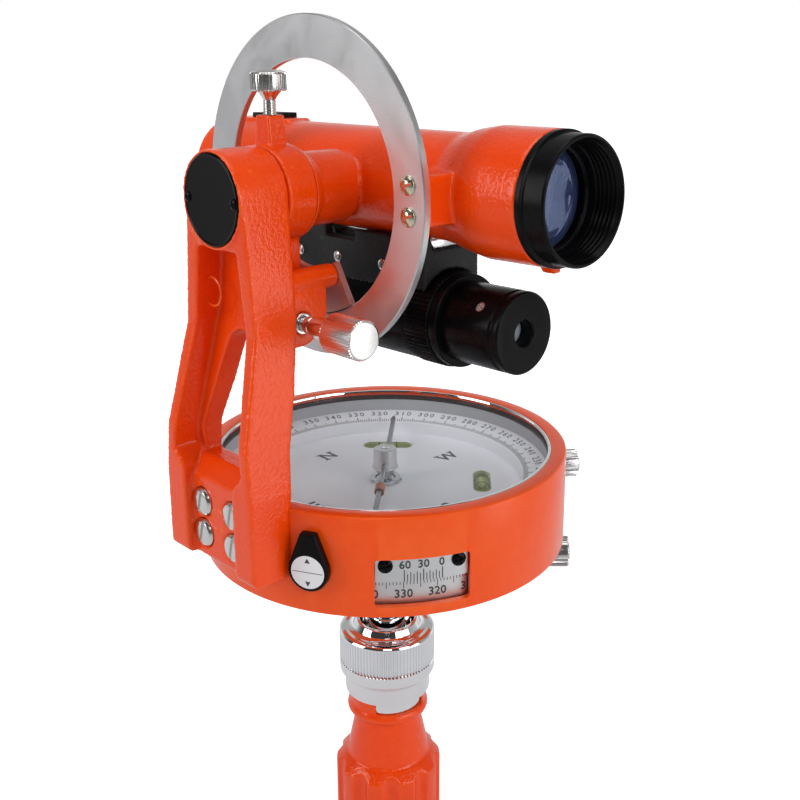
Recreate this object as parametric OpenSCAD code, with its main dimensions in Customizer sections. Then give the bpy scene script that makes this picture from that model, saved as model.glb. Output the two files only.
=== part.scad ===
// Surveyors compass with a sighting telescope, a vertical circle and a laser pointer.
// Millimetres, +Z up, the grip's lower face at z = 0 on the vertical axis.
// The telescope looks along +X, and the standard stands on the -Y side of the box.

/* [Grip] */
// Length of the fluted part
grip_len = 43.8; // [30:0.1:70]
// Radius of the fluted part
grip_r = 18.7; // [17.5:0.1:22]
// Number of flutes
flute_count = 10; // [6:1:12]
// Radius of one flute
flute_r = 3.6; // [3:0.1:4.6]
// Depth of one flute
flute_depth = 1.8; // [0.8:0.1:2.2]
// Height of the sloping shoulder above the flutes
shoulder_h = 3.2; // [2:0.1:10]
// Height of the cone above the shoulder
cone_h = 17; // [10:0.5:20]
// Radius of the cone at its base
cone_base_r = 14.7; // [14:0.1:16]
// Radius of the waist at the top of the cone
waist_r = 11.2; // [9:0.1:12]
// Height of the rolled lip above the waist
lip_h = 4.5; // [4:0.5:8]
// Radius of the lip
lip_r = 14.35; // [14.1:0.05:16]
// Outer radius of the collar that rises inside the lip
collar_rim_r = 13.3; // [13.1:0.1:13.8]
// Height of that collar above the lip
notch_depth = 4; // [2:0.5:4]
// Direction of the middle of the collar's notch
notch_dir = -18.5; // [-180:0.5:180]
// Width of the notch, in degrees round the collar
notch_angle = 85; // [60:1:120]
// Wall radius of the tripod socket
socket_r = 7.94; // [6:0.02:9]
// Depth of the tripod socket
socket_len = 24; // [16:1:26]
// Outer radius of the threaded insert
insert_r = 11; // [10:0.1:12.5]

/* [Ball head] */
// Radius of the ball
ball_r = 9.8; // [9:0.1:10.2]
// Height of the ball centre above the lip
ball_rise = 20; // [18:0.5:24]
// Running clearance of round fits
run_gap = 0.05; // [0.03:0.01:0.1]
// Gap between parts that must not touch
part_gap = 0.3; // [0.2:0.05:0.5]
// Thickness of the ball liner
liner_t = 1; // [0.8:0.1:1.3]
// Outer radius of the stub that carries the nut's thread
stub_r = 12.4; // [12.3:0.1:12.6]
// Outer radius of the nut's smooth sleeve
sleeve_r = 14.9; // [14.2:0.1:16]
// Outer radius of the nut's wide band
nut_r = 16.7; // [16.1:0.1:18]
// Height of the nut's smooth sleeve
sleeve_h = 6.2; // [5:0.1:8]
// Height of the nut's wide band
nut_band_h = 15.7; // [12:0.1:16.5]
// Radius of the neck above the ball
neck_r = 6.3; // [5.5:0.1:6.5]
// Radius of the spindle that carries the drum
spindle_r = 5; // [4:0.1:5.5]

/* [Vertical axis] */
// Outer radius of the axis housing
housing_r = 14; // [13:0.5:18]
// Height from the ball centre to the housing's lower face
housing_rise = 22.5; // [21:0.5:30]
// Height of the axis housing
housing_h = 22.2; // [20:0.2:30]
// Radius of the bearing hub under the box
hub_r = 9; // [8:0.1:10]
// Height of the clamp screw above the housing's lower face
clamp_rise = 14; // [12:0.5:16]
// Distance from the axis to the end of the clamp screw's knob
clamp_reach = 62.5; // [40:0.5:75]
// Radius of the clamp screw's knob
clamp_knob_r = 5.3; // [4:0.1:6.5]

/* [Compass box] */
// Outer radius of the box
box_r = 60; // [58:0.5:75]
// Height of the box
box_h = 31.5; // [31:0.5:40]
// Thickness of the upper wall
wall_t = 5; // [5:0.1:8]
// Thickness of the wall round the drum
drum_wall_t = 1.8; // [1.5:0.1:2.4]
// Depth of the dial below the rim
dial_depth = 14; // [14:0.5:18]
// Thickness of the dial plate
dial_t = 2.5; // [2:0.1:3]
// Inner radius of the raised degree ring
degree_ring_r = 45.5; // [40:0.5:46]
// Thickness of the cover glass
glass_t = 1.3; // [1:0.1:2]
// Height of the bright bezel ring
bezel_h = 0.7; // [0.5:0.1:1.2]
// Height of the black gasket
gasket_h = 1.6; // [1:0.1:2]
// Width of the reading window, in degrees round the box
window_angle = 27.2; // [20:0.2:32]
// Direction of the window's middle
window_dir = -31.9; // [-36:0.1:-20]
// Height of the window
window_h = 14.9; // [13:0.1:15]
// Height of the window's upper edge above the dial
window_rise = 0.9; // [-2:0.1:1]
// Direction of the selector lever
selector_dir = -62.9; // [-64:0.1:-58]
// Depth of the selector below the rim
selector_depth = 16.8; // [15:0.1:18]
// Radius of the selector's disc
selector_r = 6.1; // [5:0.1:6.4]
// Distance from the selector's centre to its tip
selector_tip = 11.8; // [9:0.1:14]
// Direction of the lifter knob
lifter_dir = 55; // [50:1:70]
// Height of the lifter's axis above the dial
lifter_rise = 2; // [1.9:0.1:2.3]
// Radius of the lifter knob
lifter_knob_r = 4.8; // [4:0.1:6]

/* [Needle] */
// Half length of the needle
needle_len = 44.5; // [36:0.5:45]
// Width of the needle
needle_w = 1.5; // [1.2:0.1:2]
// Height of the needle
needle_t = 1.8; // [1.4:0.1:2.2]
// Direction of the needle's north end
needle_dir = 133.3; // [0:0.1:360]
// Wire diameter of the balance winding
winding_d = 0.5; // [0.4:0.05:0.6]
// Turns of the balance winding
winding_turns = 4; // [3:1:6]

/* [Standard] */
// Height of the trunnion axis above the rim
trunnion_rise = 86.6; // [84:0.2:100]
// Half width of the standard at the head
head_r = 13.7; // [13.5:0.1:16]
// Half width of the standard at its foot
foot_half_w = 21.5; // [20:0.1:21.6]
// Thickness of the side flanges
flange_t = 4.5; // [3.5:0.1:5]
// Distance that the head stands out beyond the box
head_proud = 3.2; // [2:0.1:6]
// Width of the head along the trunnion
head_w = 16.6; // [15:0.1:17]
// Depth of the foot below the rim
foot_drop = 21; // [20:0.5:24]
// Distance that the foot stands out beyond the box
foot_proud = 9.6; // [8:0.1:14]
// Spacing of the foot's screws across the standard
foot_screw_dx = 15.2; // [13:0.1:16]
// Spacing of the foot's screws in height
foot_screw_dz = 10; // [9:0.1:12]
// Radius of the foot screws' heads
foot_screw_r = 4.3; // [3.5:0.1:4.4]

/* [Altitude motion] */
// Radius of the trunnion stub
stub_axle_r = 11; // [10:0.1:11.5]
// Radius of the axle inside the head
axle_r = 8; // [7:0.1:8.5]
// Outer radius of the clamp collar
collar_r = 13.8; // [13.5:0.1:16]
// Width of the clamp collar
collar_w = 9.7; // [9:0.1:10]
// Height of the lug's top above the trunnion axis
lug_rise = 21.8; // [20:0.2:26]
// Length of the collar's arm below the trunnion axis
arm_len = 41; // [39:0.5:42]
// Half width of the collar's arm
arm_half_w = 5; // [4:0.1:5.2]
// Depth of the tangent screw below the trunnion axis
tangent_drop = 35.6; // [34:0.2:36]
// Distance of the tangent screw inside the outer face of the collar
tangent_inset = 3.1; // [2.5:0.1:4]
// Radius of the tangent screw's knob
tangent_knob_r = 5.7; // [4.5:0.1:6]
// Distance from the middle to the end of the tangent knob
tangent_reach = 40; // [34:0.5:50]
// Length of the tangent knob
tangent_knob_len = 13; // [9:0.5:16]
// Outer radius of the clamp screw's head
thumb_r = 5.2; // [4.5:0.1:7]
// Wire diameter of the return spring
spring_d = 0.6; // [0.5:0.05:0.7]
// Turns of the return spring
spring_turns = 7; // [5:1:8]

/* [Vertical circle] */
// Outer radius of the vertical circle
circle_r = 49.1; // [48:0.1:60]
// Inner radius of the vertical circle
circle_bore_r = 37; // [36.8:0.1:38]
// Thickness of the vertical circle
circle_t = 2.4; // [1.8:0.1:3]
// Distance from the vertical axis to the circle's front face
circle_y = 29.6; // [29:0.1:31]
// Distance of the circle screws outside the bore of the circle
circle_screw_in = 5.9; // [5.4:0.1:6.6]
// Spacing of the circle's screws
circle_screw_dz = 8.4; // [7.5:0.1:9]
// Inner radius of the index plate
index_r = 23.2; // [22:0.1:23.5]
// Half angle of the index plate
index_half_angle = 30; // [26:1:34]

/* [Telescope] */
// Tilt of the telescope as stored, objective up
rest_tilt = 1; // [0:0.1:1.5]
// Radius of the tube at the middle
tube_r = 16.3; // [16:0.1:17]
// Swell of the tube at its rear, over its middle
rear_swell = 0.4; // [0.2:0.1:1]
// Swell of the bell over the tube
bell_swell = 2.4; // [2:0.1:5]
// Wall of the tube
tube_wall = 2.2; // [1.8:0.1:2.4]
// Distance from the trunnion axis to the start of the bell's flare
flare_x = 37.5; // [30:0.5:38]
// Length of the flare
flare_len = 13; // [8:0.5:13]
// Distance from the trunnion axis to the front of the tube
tube_front = 70.1; // [62:0.1:90]
// Distance from the trunnion axis to the back of the tube
tube_back = 80; // [75:0.5:84]
// Length of the objective cell in front of the tube
cell_len = 8.7; // [7:0.1:20]
// Step from the bell down to the rim of the objective cell
cell_step = 1.1; // [0.5:0.1:2]
// Step from the tube down to the objective lens
lens_step = 2.1; // [1.8:0.1:4]
// Distance from the front rim back to the objective lens
lens_recess = 12; // [10:0.5:18]
// Length of the eyepiece behind the tube
eyepiece_len = 10; // [9:0.5:20]
// Radius of the eyepiece's flange
eyepiece_flange_r = 12.3; // [11:0.1:15]
// Radius of the eyepiece's turning ring
eyepiece_r = 9.6; // [9:0.1:11]

/* [Laser pointer] */
// Depth of the laser's axis below the telescope's axis
laser_drop = 39; // [38:0.1:41]
// Radius of the front barrel
laser_r = 12.1; // [10:0.1:12.5]
// Radius of the rear body
laser_body_r = 14.2; // [13:0.1:14.3]
// Radius of the focus ring
laser_ring_r = 14.6; // [14.4:0.1:15.5]
// Length of the focus ring
focus_len = 9.8; // [7:0.1:11]
// Distance from the trunnion axis to the laser's front face
laser_front = 58.6; // [56:0.2:70]
// Distance from the trunnion axis back to the rear body's end
laser_back = 42; // [36:0.5:50]
// Radius of the aperture in the front face
aperture_r = 3.8; // [3:0.1:5]

/* [Hidden] */
$fn = 96;

// Colours
paint = "orangered";
chrome = "silver";
black = [0.08, 0.08, 0.09];
steel = [0.66, 0.67, 0.70];
brass = [0.78, 0.62, 0.30];
white = [0.92, 0.93, 0.95];

// Heights of the grip and the ball head
flute_phase = -3.4;
shoulder_z = grip_len + shoulder_h;
waist_z = shoulder_z + cone_h;
lip_z = waist_z + lip_h;
lip_top_z = lip_z + notch_depth;
ball_z = lip_z + ball_rise;
stub_seat_z = lip_z - 3;
stub_flange_r = stub_r + 0.1;
nut_z = lip_z + 4.5;
nut_band_z = nut_z + sleeve_h + 2;
nut_top_z = nut_band_z + nut_band_h;
seat_r = ball_r + run_gap + liner_t + run_gap;
nut_hole_r = 9;
nut_mouth_r = 9.6;

// Heights of the vertical axis
housing_z = ball_z + housing_rise;
housing_floor = 3;
housing_top_z = housing_z + housing_h;
clamp_z = housing_z + clamp_rise;
clamp_dir = 45;
clamp_screw_r = 1.95;
clamp_knob_len = 12.5;

// Heights of the box
box_z = housing_top_z + part_gap;
rim_z = box_z + box_h;
floor_t = 2;
dial_z = rim_z - dial_depth;
bore_r = box_r - wall_t;
drum_bore_r = box_r - drum_wall_t;
ledge_t = 1.5;
ledge_r = bore_r - 3;
ledge_z = dial_z - dial_t - ledge_t;
drum_r = drum_bore_r - 0.8;
drum_z = box_z + floor_t + 0.8;
drum_top_z = ledge_z - 0.6;
window_top_z = dial_z + window_rise;
window_z = window_top_z - window_h;
vernier_t = 1;
vernier_head_t = 0.9;
vernier_in_r = drum_r + 0.25;
vernier_head_r = vernier_in_r + vernier_t + 0.05;
vernier_h = 7.6;
vernier_screw_angle = 10.6;
vernier_screw_z = window_top_z - 2.4;
vernier_screw_r = 1;
glass_z = rim_z - 0.1 - bezel_h - glass_t;
gasket_z = glass_z - gasket_h;
ring_wall_t = 0.9;
selector_z = rim_z - selector_depth;
selector_pin_r = 1.5;
selector_t = 3;
lifter_z = dial_z + lifter_rise;
lifter_pin_r = 1.5;
lifter_knob_len = 5.5;
cam_r = 1;
cam_offset = 0.4;
vial_r = 2;
vial_len = 14;
vial_ring_r = 32.4;
vial_z = dial_z - 1.2;

// Needle
blade_z = rim_z - 8.4;
hub_cap_r = 3.9;
hub_top_z = glass_z - part_gap;
pin_r = 0.6;
winding_start = 20.5;
winding_pitch = winding_d + 0.6;
lever_z = ledge_z - 1;
lever_t = 1.2;
lever_pivot = 25;
lever_end = bore_r - 5.8;
lever_trunnion = 3;
lifter_pin_x = 4.2;
cam_seat_z = lifter_z + cam_offset - cam_r - 0.05;
lug_t = 1.2;

// Standard
trunnion_z = rim_z + trunnion_rise;
head_y = box_r + head_proud;
head_back_y = head_y - head_w;
foot_y = box_r + foot_proud;
cap_r = head_r - 0.8;
cap_t = 1.5;
bush_r = axle_r + 2.5;
web_t = 6;
foot_face_y = foot_y - 3.1;
foot_pocket_half_w = 12;
foot_screw_z = rim_z - 3.4;
foot_bolt_r = 2;
ear_in = arm_half_w + 4;
ear_t = 4.5;
ear_r = 7;
index_boss_x = 10;
index_boss_z = -24.1;
index_boss_r = 3.6;
index_t = 2;
index_bolt_r = 1.2;
tangent_z = trunnion_z - tangent_drop;

// Altitude motion
collar_y = head_back_y - part_gap;
collar_in_y = collar_y - collar_w;
lug_y = collar_y - collar_w / 2 + 0.5;
tangent_y = collar_y - tangent_inset;
ear_out_y = tangent_y - 9.2;
thread_r = 1.95;
bush_bore_r = 2 + run_gap;
tip_r = 2;
travel_gap = 1.2;
flange_w = 3.6;
stub_end_y = tube_r + 2.3;
boss_r = 9;
boss_y = stub_end_y;
spigot_r = 6;
spigot_end_y = stub_end_y - 3.4;

// Telescope
tube_rear_r = tube_r + rear_swell;
bell_r = tube_r + bell_swell;
cell_r = bell_r - cell_step;
lens_r = tube_r - lens_step;
circle_screw_x = circle_bore_r + circle_screw_in;
circle_lug_len = 11;
circle_lug_half_h = 6.9;
cell_front = tube_front + cell_len;
lens_x = cell_front - lens_recess;
hump_top = tube_rear_r + 0.6;
rail_half_w = 8;
rail_top = tube_r - 2.1;
rail_bottom = tube_r + 1.2;
saddle_half_w = 11.5;
saddle_front = 30;
saddle_back = 34;
jaw_back = -14.5;
jaw_front = -0.5;
focus_x = 23.6;
ring_x = focus_x + focus_len + part_gap;
ring_t = 2.8;
focus_core_r = laser_r - 1.2;
set_screw_x = 49.6;
set_screw_angles = [18, 138, 258];

// Points along an arc, from angle a0 to a1 in n steps
function arc(cx, cy, r, a0, a1, n) =
    [for (i = [0:n]) let (a = a0 + (a1 - a0) * i / n) [cx + r * cos(a), cy + r * sin(a)]];

// Centres of a coil along +X with radius r, n turns of pitch p, 24 steps a turn
function coil(r, p, n) =
    [for (i = [0:n * 24]) let (a = i * 15) [p * i / 24, r * cos(a), r * sin(a)]];

// Sides of a swept wire
wire_sides = 6;
// Ring of one wire section at point i of a coil's path
function wire_ring(path, i, r) = let (
        a = path[max(i - 1, 0)], b = path[min(i + 1, len(path) - 1)],
        t = (b - a) / norm(b - a), c = path[i],
        u0 = [0, c[1], c[2]], u = u0 / norm(u0), v = cross(t, u))
    [for (k = [0:wire_sides - 1]) let (q = 360 * k / wire_sides)
        c + r * (cos(q) * u + sin(q) * v / norm(v))];

// A wire of diameter d swept along a coil, as one closed solid
module wire(path, d) {
    n = len(path);
    points = [for (i = [0:n - 1]) each wire_ring(path, i, d / 2)];
    sides = [for (i = [0:n - 2], k = [0:wire_sides - 1])
        let (a = i * wire_sides + k, b = i * wire_sides + (k + 1) % wire_sides)
        each [[a, b, b + wire_sides], [a, b + wire_sides, a + wire_sides]]];
    first = [for (k = [1:wire_sides - 2]) [0, k + 1, k]];
    last = (n - 1) * wire_sides;
    ends = [for (k = [1:wire_sides - 2]) [last, last + k, last + k + 1]];
    polyhedron(points, concat(first, sides, ends), convexity = 6);
}

// Least distance between points of a coil that are most of a turn apart
function coil_gap(path, d) = min([for (i = [0:len(path) - 19], j = [i + 18:1:min(i + 30, len(path) - 1)])
    norm(path[i] - path[j])]) - d;

// Children lying along +X from the z axis, turned to a direction and lifted
module radial(dir, z) { rotate([0, 0, dir]) translate([0, 0, z]) rotate([0, 90, 0]) children(); }

// Cylinder along +Y from y0 to y1
module along_y(r, y0, y1, x = 0, z = 0) {
    translate([x, y0, z]) rotate([-90, 0, 0]) cylinder(r = r, h = y1 - y0);
}

// Cylinder along +X from x0 to x1
module along_x(r, x0, x1, y = 0, z = 0) {
    translate([x0, y, z]) rotate([0, 90, 0]) cylinder(r = r, h = x1 - x0);
}

// Cone along +X
module cone_x(r0, r1, x0, x1, y = 0, z = 0) {
    translate([x0, y, z]) rotate([0, 90, 0]) cylinder(r1 = r0, r2 = r1, h = x1 - x0);
}

// Pieces of the telescope, drawn about the trunnion axis
module on_telescope() { translate([0, 0, trunnion_z]) rotate([0, -rest_tilt, 0]) children(); }

// Pieces that turn about the trunnion axis but are stored level
module on_trunnion() { translate([0, 0, trunnion_z]) children(); }

// Outline in x and z, extruded along y from y0 to y1
module plate_y(points, y0, y1) {
    translate([0, y1, 0]) rotate([90, 0, 0]) linear_extrude(y1 - y0) polygon(points);
}

// Outline in y and z, extruded along x from x0 to x1
module plate_x(points, x0, x1) {
    translate([x0, 0, 0]) rotate([90, 0, 90]) linear_extrude(x1 - x0) polygon(points);
}

// Fluted grip with its cone and lip, bored for the insert and the stub
module mount_grip() color(paint) difference() {
    union() {
        cylinder(r = grip_r, h = grip_len);
        translate([0, 0, grip_len]) cylinder(r1 = grip_r, r2 = cone_base_r + 0.6, h = shoulder_h);
        translate([0, 0, shoulder_z]) cylinder(r1 = cone_base_r, r2 = waist_r, h = cone_h);
        rotate_extrude() polygon([[0, waist_z], [waist_r, waist_z], [lip_r - 1.2, waist_z + 0.3],
            [lip_r - 0.3, waist_z + 1.1], [lip_r, waist_z + 2.2], [lip_r - 0.3, lip_z - 1.1],
            [lip_r - 1, lip_z], [0, lip_z]]);
        translate([0, 0, lip_z - 1]) cylinder(r = collar_rim_r, h = notch_depth + 1);
    }
    rotate([0, 0, notch_dir - notch_angle / 2]) rotate_extrude(angle = notch_angle)
        translate([stub_flange_r - 1, lip_z]) square([3, notch_depth + 1]);
    for (i = [0:flute_count - 1]) rotate([0, 0, 360 * i / flute_count + flute_phase])
        translate([grip_r + flute_r - flute_depth, 0, -1]) cylinder(r = flute_r, h = shoulder_z, $fn = 48);
    translate([0, 0, -1]) cylinder(r = insert_r, h = socket_len + 1);
    translate([0, 0, stub_seat_z]) cylinder(r = stub_flange_r, h = lip_z);
    translate([0, 0, socket_len - 1]) cylinder(r = 5, h = stub_seat_z);
}

// Threaded insert of the tripod socket
module socket_insert() color(steel) difference() {
    cylinder(r = insert_r, h = socket_len);
    translate([0, 0, -1]) cylinder(r = socket_r, h = socket_len + 2);
}

// Chromed stub with the cup that carries the ball
module seat_stub() color(chrome) difference() {
    union() {
        translate([0, 0, stub_seat_z]) cylinder(r = stub_flange_r, h = nut_z - part_gap - stub_seat_z);
        translate([0, 0, nut_z - 1]) cylinder(r = stub_r, h = ball_z - 2 - nut_z + 1);
        translate([0, 0, stub_seat_z - 12]) cylinder(r = 5, h = 13);
    }
    translate([0, 0, ball_z]) sphere(r = seat_r);
}

// Clamp nut with a smooth sleeve, a knurled band and a domed top
module ball_clamp_nut() color(chrome) rotate_extrude() polygon([
    [stub_r + run_gap, nut_z], [sleeve_r, nut_z], [sleeve_r, nut_z + sleeve_h],
    [nut_r, nut_band_z], [nut_r, nut_top_z - 1.4], [nut_r - 0.5, nut_top_z - 0.4],
    [nut_r - 1.4, nut_top_z], [nut_r - 2.2, nut_top_z - 0.3], [nut_r - 2.9, nut_top_z - 1],
    [nut_r - 4.3, nut_top_z - 0.7], [nut_mouth_r + 1.9, nut_top_z + 0.4],
    [nut_mouth_r + 1.2, nut_top_z + 2.6], [nut_mouth_r + 0.8, nut_top_z + 3.1],
    [nut_mouth_r, nut_top_z + 3.1], [nut_hole_r, ball_z + 4.7],
    [stub_r + run_gap, ball_z + 0.8]]);

// Liner between the ball and its cup
module ball_liner() color(white) translate([0, 0, ball_z]) difference() {
    sphere(r = ball_r + run_gap + liner_t);
    sphere(r = ball_r + run_gap);
    translate([0, 0, 17.6]) cube(40, center = true);
    translate([0, 0, -28.6]) cube(40, center = true);
}

// Ball with its neck, flange and spindle
module ball_stud() color(chrome) {
    translate([0, 0, ball_z]) sphere(r = ball_r);
    translate([0, 0, ball_z + 6]) cylinder(r = neck_r, h = housing_rise - 6);
    translate([0, 0, housing_z - 3]) cylinder(r = housing_r - 2, h = 3);
    translate([0, 0, housing_z]) cylinder(r = spindle_r, h = drum_z + 6 - housing_z);
}

// Housing of the vertical bearing with a boss for the clamp screw
module axis_housing() color(paint) difference() {
    union() {
        translate([0, 0, housing_z]) cylinder(r = housing_r, h = housing_h);
        radial(clamp_dir, clamp_z) cylinder(r = 4.6, h = housing_r + 5);
    }
    translate([0, 0, housing_z - 1]) cylinder(r = spindle_r, h = housing_floor + 2);
    translate([0, 0, housing_z + housing_floor]) cylinder(r = hub_r + run_gap, h = housing_h);
    radial(clamp_dir, clamp_z) cylinder(r = clamp_screw_r + run_gap, h = housing_r + 6);
}

// Horizontal clamp screw with its long shank and knob
module azimuth_clamp_screw() color(chrome) radial(clamp_dir, clamp_z) {
    translate([0, 0, hub_r + part_gap]) cylinder(r = clamp_screw_r, h = 14);
    translate([0, 0, housing_r + 5 + part_gap]) cylinder(r = 2.6,
        h = clamp_reach - clamp_knob_len - housing_r - 5);
    translate([0, 0, clamp_reach - clamp_knob_len]) cylinder(r = clamp_knob_r, h = clamp_knob_len);
}

// Graduated drum on the spindle
module azimuth_drum() color(white) difference() {
    translate([0, 0, drum_z]) cylinder(r = drum_r, h = drum_top_z - drum_z);
    translate([0, 0, drum_z + 1.5]) difference() {
        cylinder(r = drum_r - 1.2, h = 20);
        cylinder(r = spindle_r + 3, h = 4.5);
    }
    translate([0, 0, drum_z - 1]) cylinder(r = spindle_r, h = 20);
}

// Sector of the wall cut by the reading window, between two radii
module window_sector(r0, r1, z, h, half) {
    translate([0, 0, z]) rotate([0, 0, window_dir - half])
        rotate_extrude(angle = 2 * half) translate([r0, 0]) square([r1 - r0, h]);
}

// Hole pattern that ties the foot of the standard to the box
module foot_screw_places() {
    for (sx = [-0.5, 0.5], k = [0, 1])
        translate([sx * foot_screw_dx, 0, foot_screw_z - k * foot_screw_dz]) children();
}

// Box with its drum chamber, ledge and reading window
module compass_box() color(paint) difference() {
    translate([0, 0, box_z]) cylinder(r = box_r, h = box_h);
    translate([0, 0, dial_z - dial_t]) cylinder(r = bore_r, h = 40);
    translate([0, 0, ledge_z - 1]) cylinder(r = ledge_r, h = 10);
    translate([0, 0, box_z - 1]) cylinder(r = drum_bore_r, h = ledge_z - box_z + 1);
    window_sector(drum_r + 0.2, box_r + 2, window_z, window_h, window_angle / 2);
    radial(selector_dir, selector_z) translate([0, 0, bore_r + 0.5])
        cylinder(r = selector_pin_r + run_gap, h = wall_t);
    radial(lifter_dir, lifter_z) translate([0, 0, bore_r - 4])
        cylinder(r = lifter_pin_r + run_gap, h = wall_t + 8);
    foot_screw_places() along_y(foot_bolt_r, -box_r - 2, -bore_r - 1);
    for (s = [-1, 1]) radial(window_dir + s * vernier_screw_angle, vernier_screw_z)
        translate([0, 0, drum_r - 1.5]) cylinder(r = vernier_screw_r, h = 4);
}

// Bottom plate with the bearing hub
module box_floor() color(paint) difference() {
    union() {
        translate([0, 0, box_z]) cylinder(r = drum_bore_r - 0.1, h = floor_t);
        translate([0, 0, housing_z + housing_floor + part_gap])
            cylinder(r = hub_r, h = box_z - housing_z - housing_floor);
    }
    translate([0, 0, housing_z]) cylinder(r = spindle_r + run_gap, h = 60);
}

// Vernier plate in the upper part of the window
module azimuth_vernier() color(white) difference() {
    window_sector(vernier_in_r, vernier_in_r + vernier_t,
        window_top_z - vernier_h, vernier_h - 0.1, window_angle / 2 - 0.1);
    for (s = [-1, 1]) radial(window_dir + s * vernier_screw_angle, vernier_screw_z)
        translate([0, 0, drum_r - 1]) cylinder(r = vernier_screw_r, h = 4);
}

// Two cross-head screws of the vernier plate
module vernier_screws() color(black)
    for (s = [-1, 1]) radial(window_dir + s * vernier_screw_angle, vernier_screw_z) difference() {
        union() {
            translate([0, 0, drum_r - 1.4]) cylinder(r = vernier_screw_r, h = 2.8);
            translate([0, 0, vernier_head_r]) cylinder(r = 2.2, h = vernier_head_t);
        }
        for (a = [20, 110]) rotate([0, 0, a])
            translate([-1.3, -0.25, vernier_head_r + vernier_head_t - 0.6]) cube([2.6, 0.5, 2]);
    }

// Teardrop lever and its pin
module selector_knob() color(black) radial(selector_dir, selector_z) {
    translate([0, 0, bore_r + 0.8]) cylinder(r = selector_pin_r, h = wall_t);
    translate([0, 0, box_r + 0.4]) cylinder(r = selector_r, h = selector_t);
    translate([0, 0, box_r + 0.4]) linear_extrude(selector_t - 0.4)
        polygon([[0, -selector_r], [0, selector_r], [-3, selector_r * 0.88],
            [-selector_tip, 2.3], [-selector_tip, -2.3], [-3, -selector_r * 0.88]]);
}

// White dial with slots for the vials and holes for the post and the lifter
module dial_plate() color(white) difference() {
    union() {
        translate([0, 0, dial_z - dial_t]) cylinder(r = bore_r - 0.1, h = dial_t);
        rotate([0, 0, lifter_dir]) for (s = [0, 1]) mirror([0, s, 0])
            translate([lever_pivot - 1.6, 1.6, lever_z - 0.6]) cube([3.2, lug_t, dial_z - lever_z - 0.6]);
    }
    for (a = [44, 136]) rotate([0, 0, a]) translate([vial_ring_r, 0, dial_z - dial_t - 1]) {
        translate([-2.7, -vial_len / 2 - 0.2, 0]) cube([5.4, vial_len + 0.4, dial_t + 2]);
    }
    translate([0, 0, dial_z - dial_t - 1]) cylinder(r = 1.5, h = dial_t + 2);
    rotate([0, 0, lifter_dir]) {
        along_y(0.6 + run_gap, -4, 4, lever_pivot, lever_z + lever_t / 2);
        translate([lifter_pin_x, 0, dial_z - dial_t - 1]) cylinder(r = 1.4, h = dial_t + 2);
        translate([lever_end - 2.4, -2.2, dial_z - dial_t - 1]) cube([4.2, 4.4, dial_t + 2]);
    }
}

// Raised degree ring with the grey inner wall
module degree_ring() color(white) difference() {
    rotate_extrude() polygon([[degree_ring_r, dial_z], [degree_ring_r + 1, dial_z],
        [degree_ring_r + 1, dial_z + 3.4], [bore_r - ring_wall_t, dial_z + 5.3],
        [bore_r - ring_wall_t, dial_z], [bore_r - 0.05, dial_z], [bore_r - 0.05, gasket_z],
        [bore_r - ring_wall_t, gasket_z], [bore_r - ring_wall_t, dial_z + 6],
        [degree_ring_r, dial_z + 4]]);
    radial(lifter_dir, lifter_z) translate([0, 0, bore_r - 4])
        cylinder(r = lifter_pin_r + 0.2, h = 8);
}

// Two spirit vials lying in the dial's slots
module level_vials() color("yellowgreen", 0.7)
    for (a = [44, 136]) rotate([0, 0, a]) translate([vial_ring_r, 0, vial_z]) {
        translate([-2.7, -vial_len / 2, -1.3]) cube([5.4, vial_len, 0.6]);
        along_y(vial_r, -vial_len / 2 + 0.5, vial_len / 2 - 0.5);
    }

// Pivot post with its hardened point
module needle_post() color(chrome) {
    translate([0, 0, dial_z - dial_t]) cylinder(r = 1.5, h = dial_t);
    translate([0, 0, dial_z]) cylinder(r = 3, h = 1);
    translate([0, 0, dial_z + 1]) cylinder(r = pin_r, h = blade_z + 2.4 - dial_z - 1);
}

// Magnetic needle, cut round its hub
module needle_blade() color([0.30, 0.32, 0.36]) rotate([0, 0, needle_dir]) difference() {
    translate([0, 0, blade_z]) linear_extrude(needle_t) polygon([
        [needle_len, 0], [needle_len - 2.5, needle_w / 2], [-needle_len + 1, needle_w / 2],
        [-needle_len, 0], [-needle_len + 1, -needle_w / 2], [needle_len - 2.5, -needle_w / 2]]);
    translate([0, 0, blade_z - 1]) cylinder(r = hub_cap_r, h = needle_t + 2);
}

// Cap of the needle with its lip, skirt and bearing hole
module needle_hub() color(chrome) difference() {
    union() {
        translate([0, 0, blade_z + needle_t]) cylinder(r = hub_cap_r, h = hub_top_z - blade_z - needle_t);
        translate([0, 0, blade_z]) cylinder(r = hub_cap_r, h = needle_t);
        translate([0, 0, blade_z - 0.9]) cylinder(r = hub_cap_r + 0.5, h = 0.9);
        translate([0, 0, dial_z + 2]) cylinder(r1 = 2.2, r2 = hub_cap_r, h = blade_z - 0.9 - dial_z - 2);
    }
    translate([0, 0, dial_z]) cylinder(r = pin_r + part_gap, h = blade_z + 2.7 - dial_z);
}

// Balance winding on the needle's south arm
module needle_winding() color("peru") rotate([0, 0, needle_dir + 180])
    translate([winding_start, 0, blade_z + needle_t / 2])
        wire(coil(norm([needle_w, needle_t]) / 2 + winding_d / 2 + 0.05, winding_pitch, winding_turns),
            winding_d);

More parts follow.
